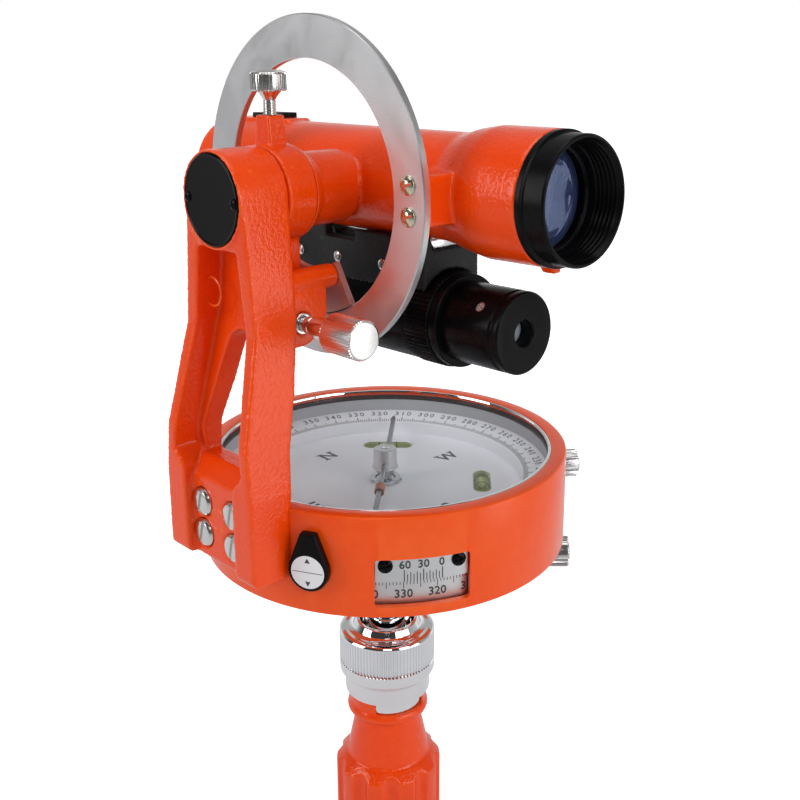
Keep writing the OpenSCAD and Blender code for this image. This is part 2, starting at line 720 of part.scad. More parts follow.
// Rocking lever that lifts the needle, with its ring on the dial
module needle_lifter() color(brass) {
    rotate([0, 0, lifter_dir]) {
        translate([3.4, -1, lever_z]) cube([lever_end - 3.4, 2, lever_t]);
        translate([lifter_pin_x, 0, lever_z]) cylinder(r = 0.7, h = dial_z + 0.6 - lever_z);
        translate([lever_end - 1, 0, lever_z]) cylinder(r = 0.8, h = cam_seat_z - 0.4 - lever_z);
        translate([lever_end - 1.9, -1.4, cam_seat_z - 0.8]) cube([3.2, 2.8, 0.8]);
        for (s = [-1, 1]) mirror([0, s < 0 ? 1 : 0, 0])
            along_y(0.6, 0.9, lever_trunnion, lever_pivot, lever_z + lever_t / 2);
    }
    translate([0, 0, dial_z + 0.4]) difference() {
        cylinder(r = 5, h = 0.9);
        translate([0, 0, -1]) cylinder(r = 3.4, h = 3);
    }
}

// Knurled knob of the lifter with its pin and cam
module lifter_knob() color(chrome) radial(lifter_dir, lifter_z) {
    translate([0, 0, bore_r - 3.8]) cylinder(r = lifter_pin_r, h = wall_t + 4.8);
    translate([-cam_offset, 0, lever_end - 1.8]) cylinder(r = cam_r, h = bore_r - lever_end - 1.9);
    translate([0, 0, box_r + 1]) cylinder(r = lifter_knob_r, h = lifter_knob_len);
}

// Cover glass
module cover_glass() color("lightcyan", 0.3)
    translate([0, 0, glass_z]) cylinder(r = bore_r - 0.1, h = glass_t);

// Bright ring above the glass
module bezel_ring() color(chrome) translate([0, 0, glass_z + glass_t]) difference() {
    cylinder(r = bore_r - 0.05, h = bezel_h);
    translate([0, 0, -1]) cylinder(r = bore_r - 1.1, h = bezel_h + 2);
}

// Black seal under the glass
module glass_gasket() color(black) translate([0, 0, gasket_z]) difference() {
    cylinder(r = bore_r - 0.05, h = gasket_h);
    translate([0, 0, -1]) cylinder(r = bore_r - 1.1, h = gasket_h + 2);
}

// Side view of the standard, in y and z
side_points = [[-head_y + 1, trunnion_z], [-head_y + 1, rim_z + 50], [-foot_y + 0.3, rim_z + 19],
    [-foot_y, rim_z + 5], [-foot_y, rim_z - foot_drop + 1.5], [-foot_y + 1.5, rim_z - foot_drop],
    [-bore_r + 3, rim_z - foot_drop], [-bore_r + 3, rim_z + part_gap],
    [-foot_y + 14.4, rim_z + part_gap], [-foot_y + 15.6, rim_z + 17], [-foot_y + 18.9, rim_z + 32],
    [-head_back_y - 1, rim_z + 52], [-head_back_y, trunnion_z]];
// Front view of the standard, in x and z
front_points = [[-head_r + 0.1, trunnion_z], [-foot_half_w + 0.3, rim_z + 5],
    [-foot_half_w, rim_z - foot_drop], [foot_half_w, rim_z - foot_drop],
    [foot_half_w - 0.3, rim_z + 5], [head_r - 0.1, trunnion_z]];
// Inner edge of the flanges at the foot
channel_half_w = foot_half_w - flange_t;
// Front view of the channel between the flanges
channel_points = [[-channel_half_w + 0.3, rim_z + 12], [-foot_pocket_half_w, rim_z + 7],
    [-foot_pocket_half_w, rim_z - foot_drop - 1], [foot_pocket_half_w, rim_z - foot_drop - 1],
    [foot_pocket_half_w, rim_z + 7], [channel_half_w - 0.3, rim_z + 12],
    [head_r - flange_t, trunnion_z - head_r], [-head_r + flange_t, trunnion_z - head_r]];
// Side view of the channel, down to the web and the foot's face
channel_side = [[-foot_y - 9, trunnion_z + 1], [-head_back_y - 1 - web_t, trunnion_z + 1],
    [-head_back_y - 1.4 - web_t, rim_z + 54], [-foot_y + 8.4, rim_z + 17],
    [-foot_y + 9.4, rim_z + 10.6], [-foot_face_y, rim_z + 4.7],
    [-foot_face_y, rim_z - foot_drop - 2], [-foot_y - 9, rim_z - foot_drop - 2]];
// Arched window through the web
window_points = concat([[channel_half_w - 3.4, rim_z + 9.4], [channel_half_w - 3.6, rim_z + 19]],
    arc(0, rim_z + 42.5, 6, 12, 168, 12),
    [[-channel_half_w + 3.6, rim_z + 19], [-channel_half_w + 3.4, rim_z + 9.4]]);

// Ear behind the web, with its rounded end and a hole for a bush
module ear() difference() {
    union() {
        translate([ear_in, -head_back_y - 3, tangent_z]) cube([ear_t, head_back_y + 3 - ear_out_y - 2, 9]);
        along_x(ear_r, ear_in, ear_in + ear_t, -tangent_y, tangent_z);
        translate([ear_in, -head_back_y - 3, tangent_z - ear_r])
            cube([ear_t, head_back_y + 3 - tangent_y, ear_r]);
        translate([ear_in, -tangent_y, tangent_z]) cube([ear_t, tangent_y - ear_out_y, 9]);
        along_y(index_boss_r, -head_back_y - 3, -circle_y, index_boss_x, trunnion_z + index_boss_z);
    }
    along_x(3.2, ear_in - 1, ear_in + ear_t + 1, -tangent_y, tangent_z);
    along_y(index_bolt_r, -circle_y - 8, -circle_y + 1, index_boss_x, trunnion_z + index_boss_z);
}

// A-frame casting with its head, channel, window, foot and ears
module standard() color(paint) difference() {
    union() {
        difference() {
            intersection() {
                plate_x(side_points, -30, 30);
                plate_y(front_points, -90, -20);
            }
            intersection() {
                plate_x(channel_side, -30, 30);
                plate_y(channel_points, -90, -20);
            }
            plate_y(window_points, -90, -20);
            cylinder(r = box_r + run_gap, h = rim_z + run_gap);
        }
        along_y(head_r, -head_y, -head_back_y, 0, trunnion_z);
        ear();
        mirror([1, 0, 0]) ear();
    }
    along_y(bush_r, -head_y + 3, -head_back_y + 1, 0, trunnion_z);
    along_y(cap_r, -head_y - 1, -head_y + cap_t, 0, trunnion_z);
    along_y(axle_r - 2, -head_y - 1, -head_y + 4, 0, trunnion_z);
    for (s = [-1, 1]) along_y(0.8, -head_y, -head_y + 3, s * (cap_r - 1.9), trunnion_z);
    foot_screw_places() {
        along_y(foot_screw_r + 0.3, -foot_face_y - 1, -foot_face_y + 1.3);
        along_y(foot_bolt_r, -foot_face_y, -box_r + 4);
    }
}

// Four slotted screws of the foot
module standard_screws() color(chrome) foot_screw_places() difference() {
    union() {
        along_y(foot_screw_r, -foot_face_y - 0.6, -foot_face_y + 1.3);
        along_y(foot_bolt_r, -foot_face_y + 1, -bore_r - 1.3);
    }
    translate([0, -foot_face_y - 0.5, 0]) rotate([0, 14, 0]) cube([1.1, 1.4, 20], center = true);
}

// Black disc on the head
module head_cap() color(black) difference() {
    along_y(cap_r - 0.05, -head_y, -head_y + cap_t, 0, trunnion_z);
    for (s = [-1, 1]) along_y(0.8, -head_y - 1, -head_y + 3, s * (cap_r - 1.9), trunnion_z);
}

// Two small screws of the cap
module cap_screws() color(steel) for (s = [-1, 1]) difference() {
    union() {
        along_y(0.8, -head_y, -head_y + 2.9, s * (cap_r - 1.9), trunnion_z);
        along_y(1.5, -head_y - 0.5, -head_y, s * (cap_r - 1.9), trunnion_z);
    }
    translate([s * (cap_r - 1.9), -head_y - 0.4, trunnion_z]) cube([2, 0.5, 0.4], center = true);
}

// Bearing bush pressed in the head
module head_bush() color(brass) difference() {
    along_y(bush_r, -head_y + 3, -head_back_y, 0, trunnion_z);
    along_y(axle_r + run_gap, -head_y, -head_back_y + 1, 0, trunnion_z);
}

// Clamp collar with its lug above and arm below
module clamp_collar() color(paint) on_trunnion() difference() {
    union() {
        along_y(collar_r, -collar_y, -collar_in_y);
        plate_y([[-4, 10], [4, 10], [3, lug_rise], [-3, lug_rise]], -lug_y - 2.9, -lug_y + 2.9);
        plate_y([[-arm_half_w, -8], [-arm_half_w, -arm_len + 2], [-arm_half_w + 2, -arm_len],
            [arm_half_w - 2, -arm_len], [arm_half_w, -arm_len + 2], [arm_half_w, -8]],
            -collar_y, -collar_in_y);
    }
    along_y(stub_axle_r + run_gap, -collar_y - 1, -collar_in_y + 1);
    translate([0, -lug_y, 0]) cylinder(r = thread_r + run_gap, h = lug_rise + 1);
}

// Knurled thumbscrew with its cone and thread
module clamp_screw() color(chrome) on_trunnion() translate([0, -lug_y, 0]) {
    translate([0, 0, stub_axle_r + 2.6]) cylinder(r = thread_r, h = lug_rise + 5 - stub_axle_r - 2.6);
    translate([0, 0, lug_rise + 4]) cylinder(r1 = thread_r, r2 = 3.6, h = 2.4);
    translate([0, 0, lug_rise + 6.4]) cylinder(r = thumb_r, h = 5);
    translate([0, 0, lug_rise + 11.4]) cylinder(r1 = thumb_r - 0.4, r2 = thumb_r - 2, h = 0.8);
}

// Brass shoe between the thumbscrew and the trunnion
module clamp_shoe() color(brass) on_trunnion() translate([0, -lug_y, 0]) intersection() {
    translate([0, 0, stub_axle_r - 2]) cylinder(r = 1.9, h = 4.3);
    difference() {
        translate([-5, -5, 0]) cube([10, 10, 20]);
        along_y(stub_axle_r + 0.12, -10, 10);
    }
}

// Thrust tip of the tangent screw
module tangent_tip() color(steel)
    along_x(tip_r, arm_half_w + part_gap, ear_in + ear_t + travel_gap + 0.6, -tangent_y, tangent_z);

// Knurled knob and tapered shank of the tangent screw
module tangent_screw() color(chrome) {
    cone_x(2.4, 3.8, ear_in + ear_t + travel_gap + 0.9, tangent_reach - tangent_knob_len,
        -tangent_y, tangent_z);
    along_x(tangent_knob_r, tangent_reach - tangent_knob_len, tangent_reach, -tangent_y, tangent_z);
}

// Bright ferrule of the tangent screw
module tangent_bush() color(chrome) difference() {
    along_x(3.2, ear_in, ear_in + ear_t + 0.6, -tangent_y, tangent_z);
    along_x(bush_bore_r, ear_in - 1, ear_in + ear_t + 2, -tangent_y, tangent_z);
}

// Barrel of the return plunger
module plunger_barrel() color(chrome) difference() {
    union() {
        along_x(3.2, -ear_in - ear_t, -ear_in, -tangent_y, tangent_z);
        along_x(4.4, -ear_in - 16, -ear_in - ear_t, -tangent_y, tangent_z);
    }
    along_x(bush_bore_r, -ear_in - 3, -ear_in + 1, -tangent_y, tangent_z);
    along_x(2.9, -ear_in - 14.8, -ear_in - 2, -tangent_y, tangent_z);
}

// Return plunger
module spring_plunger() color(steel) {
    along_x(tip_r, -ear_in - 3.4, -arm_half_w - part_gap, -tangent_y, tangent_z);
    along_x(2.6, -ear_in - 4.6, -ear_in - 3.4, -tangent_y, tangent_z);
}

// Coil spring behind the plunger
spring_len = 8.2;
module plunger_spring() color(steel) translate([-ear_in - 14.5, -tangent_y, tangent_z])
    wire(coil(2.2, spring_len / spring_turns, spring_turns), spring_d);

// Index plate inside the vertical circle
index_out_r = circle_bore_r - 0.4;
module vertical_vernier() color(steel) on_trunnion() difference() {
    plate_y(concat(arc(0, 0, index_out_r, -90 - index_half_angle, -90 + index_half_angle, 24),
        arc(0, 0, index_r, -90 + index_half_angle, -90 - index_half_angle, 24)),
        -circle_y, -circle_y + index_t);
    for (s = [-1, 1]) along_y(index_bolt_r, -circle_y - 1, -circle_y + 4, s * index_boss_x, index_boss_z);
}

// Two screws of the index plate
module index_screws() color(steel) on_trunnion() for (s = [-1, 1]) {
    along_y(index_bolt_r, -circle_y - 7, -circle_y + index_t, s * index_boss_x, index_boss_z);
    along_y(2.4, -circle_y + index_t, -circle_y + index_t + 1.3, s * index_boss_x, index_boss_z);
}

// Stub axle with its conical flange
module trunnion() color(paint) on_trunnion() {
    along_y(axle_r, -head_y + 3.2, -collar_y);
    along_y(stub_axle_r, -collar_y, -stub_end_y);
    translate([0, -collar_in_y + part_gap, 0]) rotate([-90, 0, 0])
        cylinder(r1 = collar_r, r2 = stub_axle_r, h = flange_w);
    along_y(spigot_r, -stub_end_y, -spigot_end_y);
}

// Profile of the tube, as distance along the axis and radius
tube_profile = [[-tube_back, tube_rear_r - 1.6], [-tube_back + 2, tube_rear_r], [-45, tube_rear_r],
    [flare_x, tube_r - 0.2],
    [flare_x + flare_len * 0.5, (tube_r + bell_r) / 2 + 0.2], [flare_x + flare_len, bell_r],
    [tube_front, bell_r - 0.1]];

// Telescope body with its bell, boss, lug and sight seat
module telescope_tube() color(paint) on_telescope() difference() {
    union() {
        rotate([0, 90, 0]) rotate_extrude() polygon(concat([[0, -tube_back]],
            [for (p = tube_profile) [p[1], p[0]]], [[0, tube_front]]));
        along_y(boss_r, -boss_y, 0);
        translate([circle_bore_r, -circle_y + circle_t, -circle_lug_half_h])
            cube([circle_lug_len, circle_y - circle_t, 2 * circle_lug_half_h]);
        translate([-tube_back + 8, -5, 0]) cube([31.5, 10, hump_top]);
        translate([tube_front - 5, -1.5, -bell_r - 1.6]) cube([5, 3, 4]);
    }
    cone_x(tube_r - tube_wall - 1, tube_r - tube_wall, -tube_back - 1, flare_x);
    along_x(tube_r - tube_wall, flare_x - 0.1, flare_x + flare_len);
    along_x(tube_r + 0.2, flare_x + flare_len - 0.1, tube_front + 1);
    along_y(spigot_r, -boss_y - 1, -spigot_end_y);
    for (s = [-0.5, 0.5]) along_y(1.3, -circle_y, -circle_y + 9, circle_screw_x, s * circle_screw_dz);
    translate([-20, -rail_half_w, -tube_r - 3]) cube([56, 2 * rail_half_w, tube_r + 3 - rail_top]);
}

// Graduated circle of bare metal
module vertical_circle() color(steel) on_telescope() difference() {
    along_y(circle_r, -circle_y, -circle_y + circle_t);
    along_y(circle_bore_r, -circle_y - 1, -circle_y + circle_t + 1);
    for (s = [-0.5, 0.5]) along_y(1.3, -circle_y - 1, -circle_y + 9, circle_screw_x, s * circle_screw_dz);
}

// Two cross-head screws of the circle
module circle_screws() color(chrome) on_telescope() for (s = [-0.5, 0.5]) difference() {
    union() {
        along_y(1.3, -circle_y, -circle_y + 8.6, circle_screw_x, s * circle_screw_dz);
        along_y(2.7, -circle_y - 1.6, -circle_y, circle_screw_x, s * circle_screw_dz);
    }
    for (a = [20, 110]) translate([circle_screw_x, -circle_y - 1.3, s * circle_screw_dz])
        rotate([0, a, 0]) cube([3, 1.2, 0.6], center = true);
}

// Black cell of the objective with a stepped mouth
module objective_cell() color(black) on_telescope() rotate([0, 90, 0]) rotate_extrude() polygon([
    [lens_r + 0.4, lens_x - 6], [tube_r + 0.1, lens_x - 6], [tube_r + 0.1, tube_front],
    [bell_r - 0.2, tube_front], [bell_r - 0.2, tube_front + 1.8], [cell_r, tube_front + 2.2],
    [cell_r, cell_front - 1], [cell_r - 0.5, cell_front], [cell_r - 1.3, cell_front],
    [lens_r + 1, lens_x + 1.4], [lens_r - 0.6, lens_x + 1.4], [lens_r - 0.6, lens_x + 0.4],
    [lens_r + 0.4, lens_x + 0.4]]);

// Objective lens with a curved front
module objective_lens() color("slateblue", 0.5) on_telescope() rotate([0, 90, 0]) rotate_extrude()
    polygon(concat([[0, lens_x - 5.4], [lens_r + 0.3, lens_x - 5.4], [lens_r + 0.3, lens_x - 1.6]],
        [for (i = [0:8]) let (r = (lens_r - 1) * (8 - i) / 8) [r, lens_x + 0.2 - r * r / 110]]));

// Reticle ring in the tube
module reticle_ring() color(brass) on_telescope() difference() {
    along_x(tube_r - tube_wall - 1, -tube_back + 6, -tube_back + 9);
    along_x(8, -tube_back + 5, -tube_back + 10);
}

// Barrel of the eyepiece
module eyepiece_barrel() color(black) on_telescope() difference() {
    union() {
        along_x(tube_r - tube_wall - 1, -tube_back - 0.05, -tube_back + 5.6);
        along_x(eyepiece_flange_r, -tube_back - 3, -tube_back - 0.05);
        along_x(eyepiece_r - 2, -tube_back - 6.4, -tube_back - 3);
    }
    along_x(5.6, -tube_back - 12, -tube_back + 6);
}

// Turning eyecup
module dioptre_ring() color(black) on_telescope() rotate([0, -90, 0]) rotate_extrude() polygon([
    [eyepiece_r - 2 + run_gap, tube_back + 3.3], [eyepiece_r, tube_back + 3.3],
    [eyepiece_r - 0.7, tube_back + 6.4], [eyepiece_r - 2.8, tube_back + eyepiece_len],
    [4.2, tube_back + eyepiece_len], [3.6, tube_back + 7.6], [3.6, tube_back + 6.7],
    [eyepiece_r - 2 + run_gap, tube_back + 6.7]]);

// Eye lens in the barrel
module eyepiece_lens() color("slateblue", 0.5) on_telescope()
    along_x(5.5, -tube_back - 5.6, -tube_back - 3.4);

// Black open sight on the tube
module sight_rail() color(black) on_telescope() difference() {
    translate([-61, -4, hump_top]) cube([14.3, 8, 1.7]);
    translate([-62, 0, hump_top + 0.7]) rotate([45, 0, 0]) cube([17, 2, 2]);
}

// Bright dovetail under the tube
module dovetail_rail() color(steel) on_telescope()
    plate_x([[-rail_half_w, -rail_top], [rail_half_w, -rail_top], [rail_half_w - 1.4, -rail_bottom],
        [-rail_half_w + 1.4, -rail_bottom]], jaw_back - 1, saddle_front - 1);

// Black saddle that hangs the laser on the dovetail
module laser_saddle() color(black) on_telescope() difference() {
    union() {
        translate([-saddle_back, -saddle_half_w, -laser_drop + 4]) cube([saddle_back + saddle_front,
            2 * saddle_half_w, laser_drop - 4 - rail_bottom - 0.1]);
        for (s = [0, 1]) mirror([0, s, 0]) {
            translate([-saddle_back, -saddle_half_w, -rail_bottom - 1])
                cube([saddle_back + jaw_back, 3.4, 4.4]);
            translate([jaw_front, -saddle_half_w, -rail_bottom - 1])
                cube([saddle_front - jaw_front, 3.4, 4.4]);
        }
    }
    along_x(laser_body_r + 0.05, -60, 60, 0, -laser_drop);
    along_x(laser_ring_r + part_gap, focus_x - part_gap, 60, 0, -laser_drop);
    along_x(tube_rear_r + part_gap, -60, 60);
    translate([16, -saddle_half_w - 1, -rail_bottom - 6]) cube([3, 4, 12]);
}

// Places of the three set screws round the laser's front barrel
module set_screw_places() for (a = set_screw_angles) translate([set_screw_x, 0, -laser_drop])
    rotate([a - 90, 0, 0]) children();

// Clamp screws of the saddle and set screws of the laser
module laser_screws() color(steel) on_telescope() {
    for (x = [-27.5, -8.8, 12]) along_y(1.8, -saddle_half_w - 0.8, -saddle_half_w, x, -rail_bottom - 6);
    set_screw_places() translate([0, 0, laser_r - 1.4]) cylinder(r = 1.6, h = 1.1);
}

// Rear body of the laser with the front flange
module laser_body() color(black) on_telescope() difference() {
    union() {
        along_x(laser_body_r, -laser_back, focus_x - part_gap, 0, -laser_drop);
        along_x(focus_core_r, focus_x - 1, ring_x, 0, -laser_drop);
        along_x(laser_ring_r - 0.5, ring_x - 0.05, ring_x + ring_t, 0, -laser_drop);
    }
    along_x(laser_r - 4, -laser_back + 3, ring_x + ring_t + 1, 0, -laser_drop);
}

// Front barrel of the laser
module laser_head() color(black) on_telescope() difference() {
    union() {
        along_x(laser_r, ring_x + ring_t, laser_front - 3.2, 0, -laser_drop);
        along_x(laser_r - 0.5, laser_front - 3.3, laser_front - 2.4, 0, -laser_drop);
        along_x(laser_r, laser_front - 2.5, laser_front, 0, -laser_drop);
    }
    along_x(laser_r - 3, ring_x + ring_t - 1, laser_front - 9, 0, -laser_drop);
    along_x(aperture_r, laser_front - 10, laser_front + 1, 0, -laser_drop);
    set_screw_places() translate([0, 0, laser_r - 1.4]) cylinder(r = 1.6, h = 3);
}

// Knurled focus ring of the laser
module laser_focus_ring() color(black) on_telescope() difference() {
    along_x(laser_ring_r, focus_x, focus_x + focus_len, 0, -laser_drop);
    along_x(focus_core_r + run_gap, focus_x - 1, ring_x, 0, -laser_drop);
}

// Lens behind the laser's aperture
module laser_lens() color("lightcyan", 0.5) on_telescope()
    along_x(aperture_r, laser_front - 6, laser_front - 4.4, 0, -laser_drop);

echo(spring_gap = coil_gap(coil(2.2, spring_len / spring_turns, spring_turns), spring_d));
echo(winding_gap = coil_gap(coil(norm([needle_w, needle_t]) / 2 + winding_d / 2 + 0.05,
    winding_pitch, winding_turns), winding_d));

mount_grip();
socket_insert();
seat_stub();
ball_clamp_nut();
ball_liner();
ball_stud();
axis_housing();
azimuth_clamp_screw();
azimuth_drum();
compass_box();
box_floor();
azimuth_vernier();
vernier_screws();
selector_knob();
dial_plate();
degree_ring();
level_vials();
needle_post();
needle_blade();
needle_hub();
needle_winding();
needle_lifter();
lifter_knob();
cover_glass();
bezel_ring();
glass_gasket();
standard();
standard_screws();
head_cap();
cap_screws();
head_bush();
clamp_collar();
clamp_screw();
clamp_shoe();
tangent_tip();
tangent_screw();
tangent_bush();
plunger_barrel();
spring_plunger();
plunger_spring();
vertical_vernier();
index_screws();
trunnion();
telescope_tube();
vertical_circle();
circle_screws();
objective_cell();
objective_lens();
reticle_ring();
eyepiece_barrel();
dioptre_ring();
eyepiece_lens();
sight_rail();
dovetail_rail();
laser_saddle();
laser_screws();
laser_body();
laser_head();
laser_focus_ring();
laser_lens();
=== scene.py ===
"""Surveyors compass with a sighting telescope, a vertical circle and a laser pointer.

Sizes are in millimetres in the classes below and are turned into metres where a mesh is made.
The telescope looks along +X, and the standard stands on the -Y side of the compass box.
"""
import logging
import math
from dataclasses import dataclass, field
from enum import Enum
from typing import Sequence

import bpy
from mathutils import Euler, Matrix, Vector


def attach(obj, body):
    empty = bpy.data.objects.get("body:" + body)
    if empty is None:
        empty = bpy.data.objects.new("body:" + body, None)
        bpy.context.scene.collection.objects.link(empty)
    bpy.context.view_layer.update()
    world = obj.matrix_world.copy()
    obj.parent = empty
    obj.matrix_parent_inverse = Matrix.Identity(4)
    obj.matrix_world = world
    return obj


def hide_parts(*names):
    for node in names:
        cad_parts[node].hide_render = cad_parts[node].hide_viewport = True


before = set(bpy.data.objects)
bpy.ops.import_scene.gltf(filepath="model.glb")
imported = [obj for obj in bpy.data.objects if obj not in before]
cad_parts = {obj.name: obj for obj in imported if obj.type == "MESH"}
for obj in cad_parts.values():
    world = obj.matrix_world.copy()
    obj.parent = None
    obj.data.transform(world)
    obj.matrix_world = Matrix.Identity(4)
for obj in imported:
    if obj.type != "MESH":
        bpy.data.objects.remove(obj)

LOG = logging.getLogger("compass")
MM = 0.001
TRUNNION_Z = 251.6
BALL_Z = 88.5
TILT = 1.0
LASER_U = -39.0
TANGENT = (-43.2, 216.0)
LIFTER_ANGLE = 55.0
LIFTER_Z = 153.0
FOOT_SCREW_X = (-7.6, 7.6)
FOOT_SCREW_Z = (151.6, 161.6)
DEGREES = range(0, 360, 10)
SMOOTH_ANGLE = 32.0
BEVEL_ANGLE = 40.0
TURN_STEPS = 128
CORNER_STEPS = 3

Vec = tuple[float, float, float]
Profile = Sequence[tuple[float, ...]]
Obj = bpy.types.Object
Tree = bpy.types.NodeTree
Socket = bpy.types.NodeSocket

# Moves a piece from the telescope's own axes, centred on the trunnion, to its place
TELESCOPE = Matrix.Translation((0, 0, TRUNNION_Z * MM)) @ Matrix.Rotation(-math.radians(TILT), 4, "Y")
# Slant at which castings are remeshed
SLANT = Euler((0.61, 0.43, 0.29)).to_matrix().to_4x4()


class Body(Enum):
    """Bodies that pieces ride on."""

    BASE = "base"
    NUT = "nut"
    PIVOT = "pivot"
    AZIMUTH_CLAMP = "azimuth_clamp"
    ALIDADE = "alidade"
    SELECTOR = "selector"
    LIFTER_CAM = "lifter_cam"
    NEEDLE = "needle"
    COLLAR = "collar"
    COLLAR_SCREW = "collar_screw"
    TANGENT_KNOB = "tangent_knob"
    TELESCOPE = "telescope"
    DIOPTRE = "dioptre"
    LASER_FOCUS = "laser_focus"


class Facing(Enum):
    """Which way the printed marks of a ring face."""

    UP = "up"
    OUT = "out"


# Places


@dataclass(frozen=True)
class Seat:
    """Where a piece sits: its origin, where its own Z points and which way its own Y leans."""

    at: Vec = (0.0, 0.0, 0.0)
    axis: Vec = (0.0, 0.0, 1.0)
    up: Vec = (0.0, 0.0, 1.0)
    on_telescope: bool = False

    def matrix(self) -> Matrix:
        """Returns the matrix that takes the piece's own axes, in metres, to this place."""
        z = Vector(self.axis).normalized()
        y = Vector(self.up) - z * Vector(self.up).dot(z)
        if y.length < 1e-6:
            y = Vector((0.0, 1.0, 0.0))
        y.normalize()
        x = y.cross(z)
        whole = Matrix.Translation(Vector(self.at) * MM) @ Matrix((x, y, z)).transposed().to_4x4()
        return TELESCOPE @ whole if self.on_telescope else whole


def on_sight(start: float = 0.0, rise: float = 0.0, way: float = 1.0) -> Seat:
    """Returns a seat on the telescope whose Z runs along the line of sight."""
    return Seat((start, 0.0, rise), (way, 0.0, 0.0), on_telescope=True)


def bearing(angle: float) -> Vec:
    """Returns the level direction at an angle in degrees from +X towards +Y."""
    return (math.cos(math.radians(angle)), math.sin(math.radians(angle)), 0.0)


def round_seat(angle: float, radius: float, z: float) -> Seat:
    """Returns a seat on a circle round the vertical axis, with its Z pointing outwards.

    Args:
        angle: direction from +X towards +Y, in degrees.
        radius: distance from the vertical axis.
        z: height.
    """
    d = bearing(angle)
    return Seat((d[0] * radius, d[1] * radius, z), d)


# Operators


def choose(*objects: Obj) -> None:
    """Selects only these objects and makes the first one active.

    Args:
        objects: what to select.
    """
    if bpy.context.object and bpy.context.object.mode != "OBJECT":
        bpy.ops.object.mode_set(mode="OBJECT")
    bpy.ops.object.select_all(action="DESELECT")
    for each in objects:
        each.select_set(True)
    bpy.context.view_layer.objects.active = objects[0] if objects else None


def call(piece: Obj, name: str) -> Obj:
    """Names a piece and its mesh."""
    piece.name = name
    piece.data.name = name
    return piece


def bake(piece: Obj, place: Matrix) -> Obj:
    """Puts a place into the mesh of the active piece."""
    piece.matrix_world = place
    bpy.ops.object.transform_apply(location=True, rotation=True, scale=True)
    return piece


def modify(piece: Obj, kind: str, **settings: object) -> None:
    """Adds a modifier to the active piece, sets it and applies it.

    Args:
        piece: active piece.
        kind: type of the modifier.
        settings: properties of the modifier.
    """
    modifier = piece.modifiers.new(kind.lower(), kind)
    for key, value in settings.items():
        setattr(modifier, key, value)
    bpy.ops.object.modifier_apply(modifier=modifier.name)


def edit(select: str = "SELECT") -> None:
    """Goes into edit mode on the active object.

    Args:
        select: SELECT for all of the mesh, DESELECT for none.
    """
    bpy.ops.object.mode_set(mode="EDIT")
    bpy.ops.mesh.select_all(action=select)


def leave_edit() -> None:
    """Goes back to object mode."""
    bpy.ops.object.mode_set(mode="OBJECT")


def draw_line(name: str, points: Sequence[Vec]) -> Obj:
    """Draws a chain of edges, one extruded vertex at a time.

    Args:
        name: name of the new object.
        points: corners of the chain, in millimetres.

    Returns:
        The new object, left in edit mode with the whole chain selected.
    """
    choose()
    bpy.ops.mesh.primitive_plane_add(size=MM, location=(0, 0, 0))
    line = call(bpy.context.object, name)
    edit()
    bpy.ops.mesh.merge(type="CENTER")
    bpy.ops.transform.translate(value=Vector(points[0]) * MM)
    for start, end in zip(points, points[1:]):
        step = (Vector(end) - Vector(start)) * MM
        bpy.ops.mesh.extrude_vertices_move(TRANSFORM_OT_translate={"value": step})
    bpy.ops.mesh.select_all(action="SELECT")
    return line


def close_shell() -> None:
    """Merges doubles and turns the faces of the mesh in edit mode outwards."""
    bpy.ops.mesh.select_all(action="SELECT")
    bpy.ops.mesh.remove_doubles(threshold=1e-6)
    bpy.ops.mesh.normals_make_consistent(inside=False)


def settle(piece: Obj, seat: Seat) -> Obj:
    """Puts a piece in its place, with the place in its mesh and smooth faces between sharp edges."""
    choose(piece)
    bake(piece, seat.matrix())
    bpy.ops.object.shade_smooth_by_angle(angle=math.radians(SMOOTH_ANGLE))
    return piece


def soften(points: Profile, fillet: float = 0.25, closed: bool = False) -> list[tuple[float, float]]:
    """Rounds the corners of an outline.

    Args:
        points: corners as (a, b) or (a, b, own fillet).
        fillet: radius used where a corner has none of its own.
        closed: whether the last corner joins the first.

    Returns:
        The rounded outline, with its first point again at the end when it is closed.
    """
    smooth: list[tuple[float, float]] = []
    count = len(points)
    for i, corner in enumerate(points):
        here = Vector(corner[:2])
        radius = corner[2] if len(corner) > 2 else fillet
        if radius <= 0 or (not closed and i in (0, count - 1)):
            smooth.append(tuple(here))
            continue
        before = Vector(points[i - 1][:2]) - here
        after = Vector(points[(i + 1) % count][:2]) - here
        bend = before.angle(after)
        if bend > math.radians(174):
            smooth.append(tuple(here))
            continue
        cut = min(radius / math.tan(bend / 2), 0.45 * before.length, 0.45 * after.length)
        first = here + before.normalized() * cut
        last = here + after.normalized() * cut
        for k in range(CORNER_STEPS + 1):
            t = k / CORNER_STEPS
            smooth.append(tuple(first * (1 - t) ** 2 + here * 2 * t * (1 - t) + last * t * t))
    if closed:
        smooth.append(smooth[0])
    return smooth


def spin_round(name: str, outline: Sequence[tuple[float, float]], steps: int) -> Obj:
    """Draws half a section, spins it once round its own Z in a number of steps and closes the shell."""
    piece = draw_line(name, [(r, 0.0, z) for r, z in outline])
    bpy.ops.mesh.spin(steps=steps, angle=math.tau, center=(0, 0, 0), axis=(0, 0, 1))
    close_shell()
    leave_edit()
    return piece


def turned(name: str, profile: Profile, seat: Seat, fillet: float = 0.25, closed: bool = False,
           steps: int = TURN_STEPS) -> Obj:
    """Turns a piece on a lathe: draws half its section and spins it.

    Args:
        name: name of the piece.
        profile: corners as (radius, height) or (radius, height, fillet).
        seat: where the piece goes.
        fillet: usual edge radius.
        closed: true for a ring, whose section doesn't touch the axis.
        steps: facets round the piece.
    """
    return settle(spin_round(name, soften(profile, fillet, closed), steps), seat)


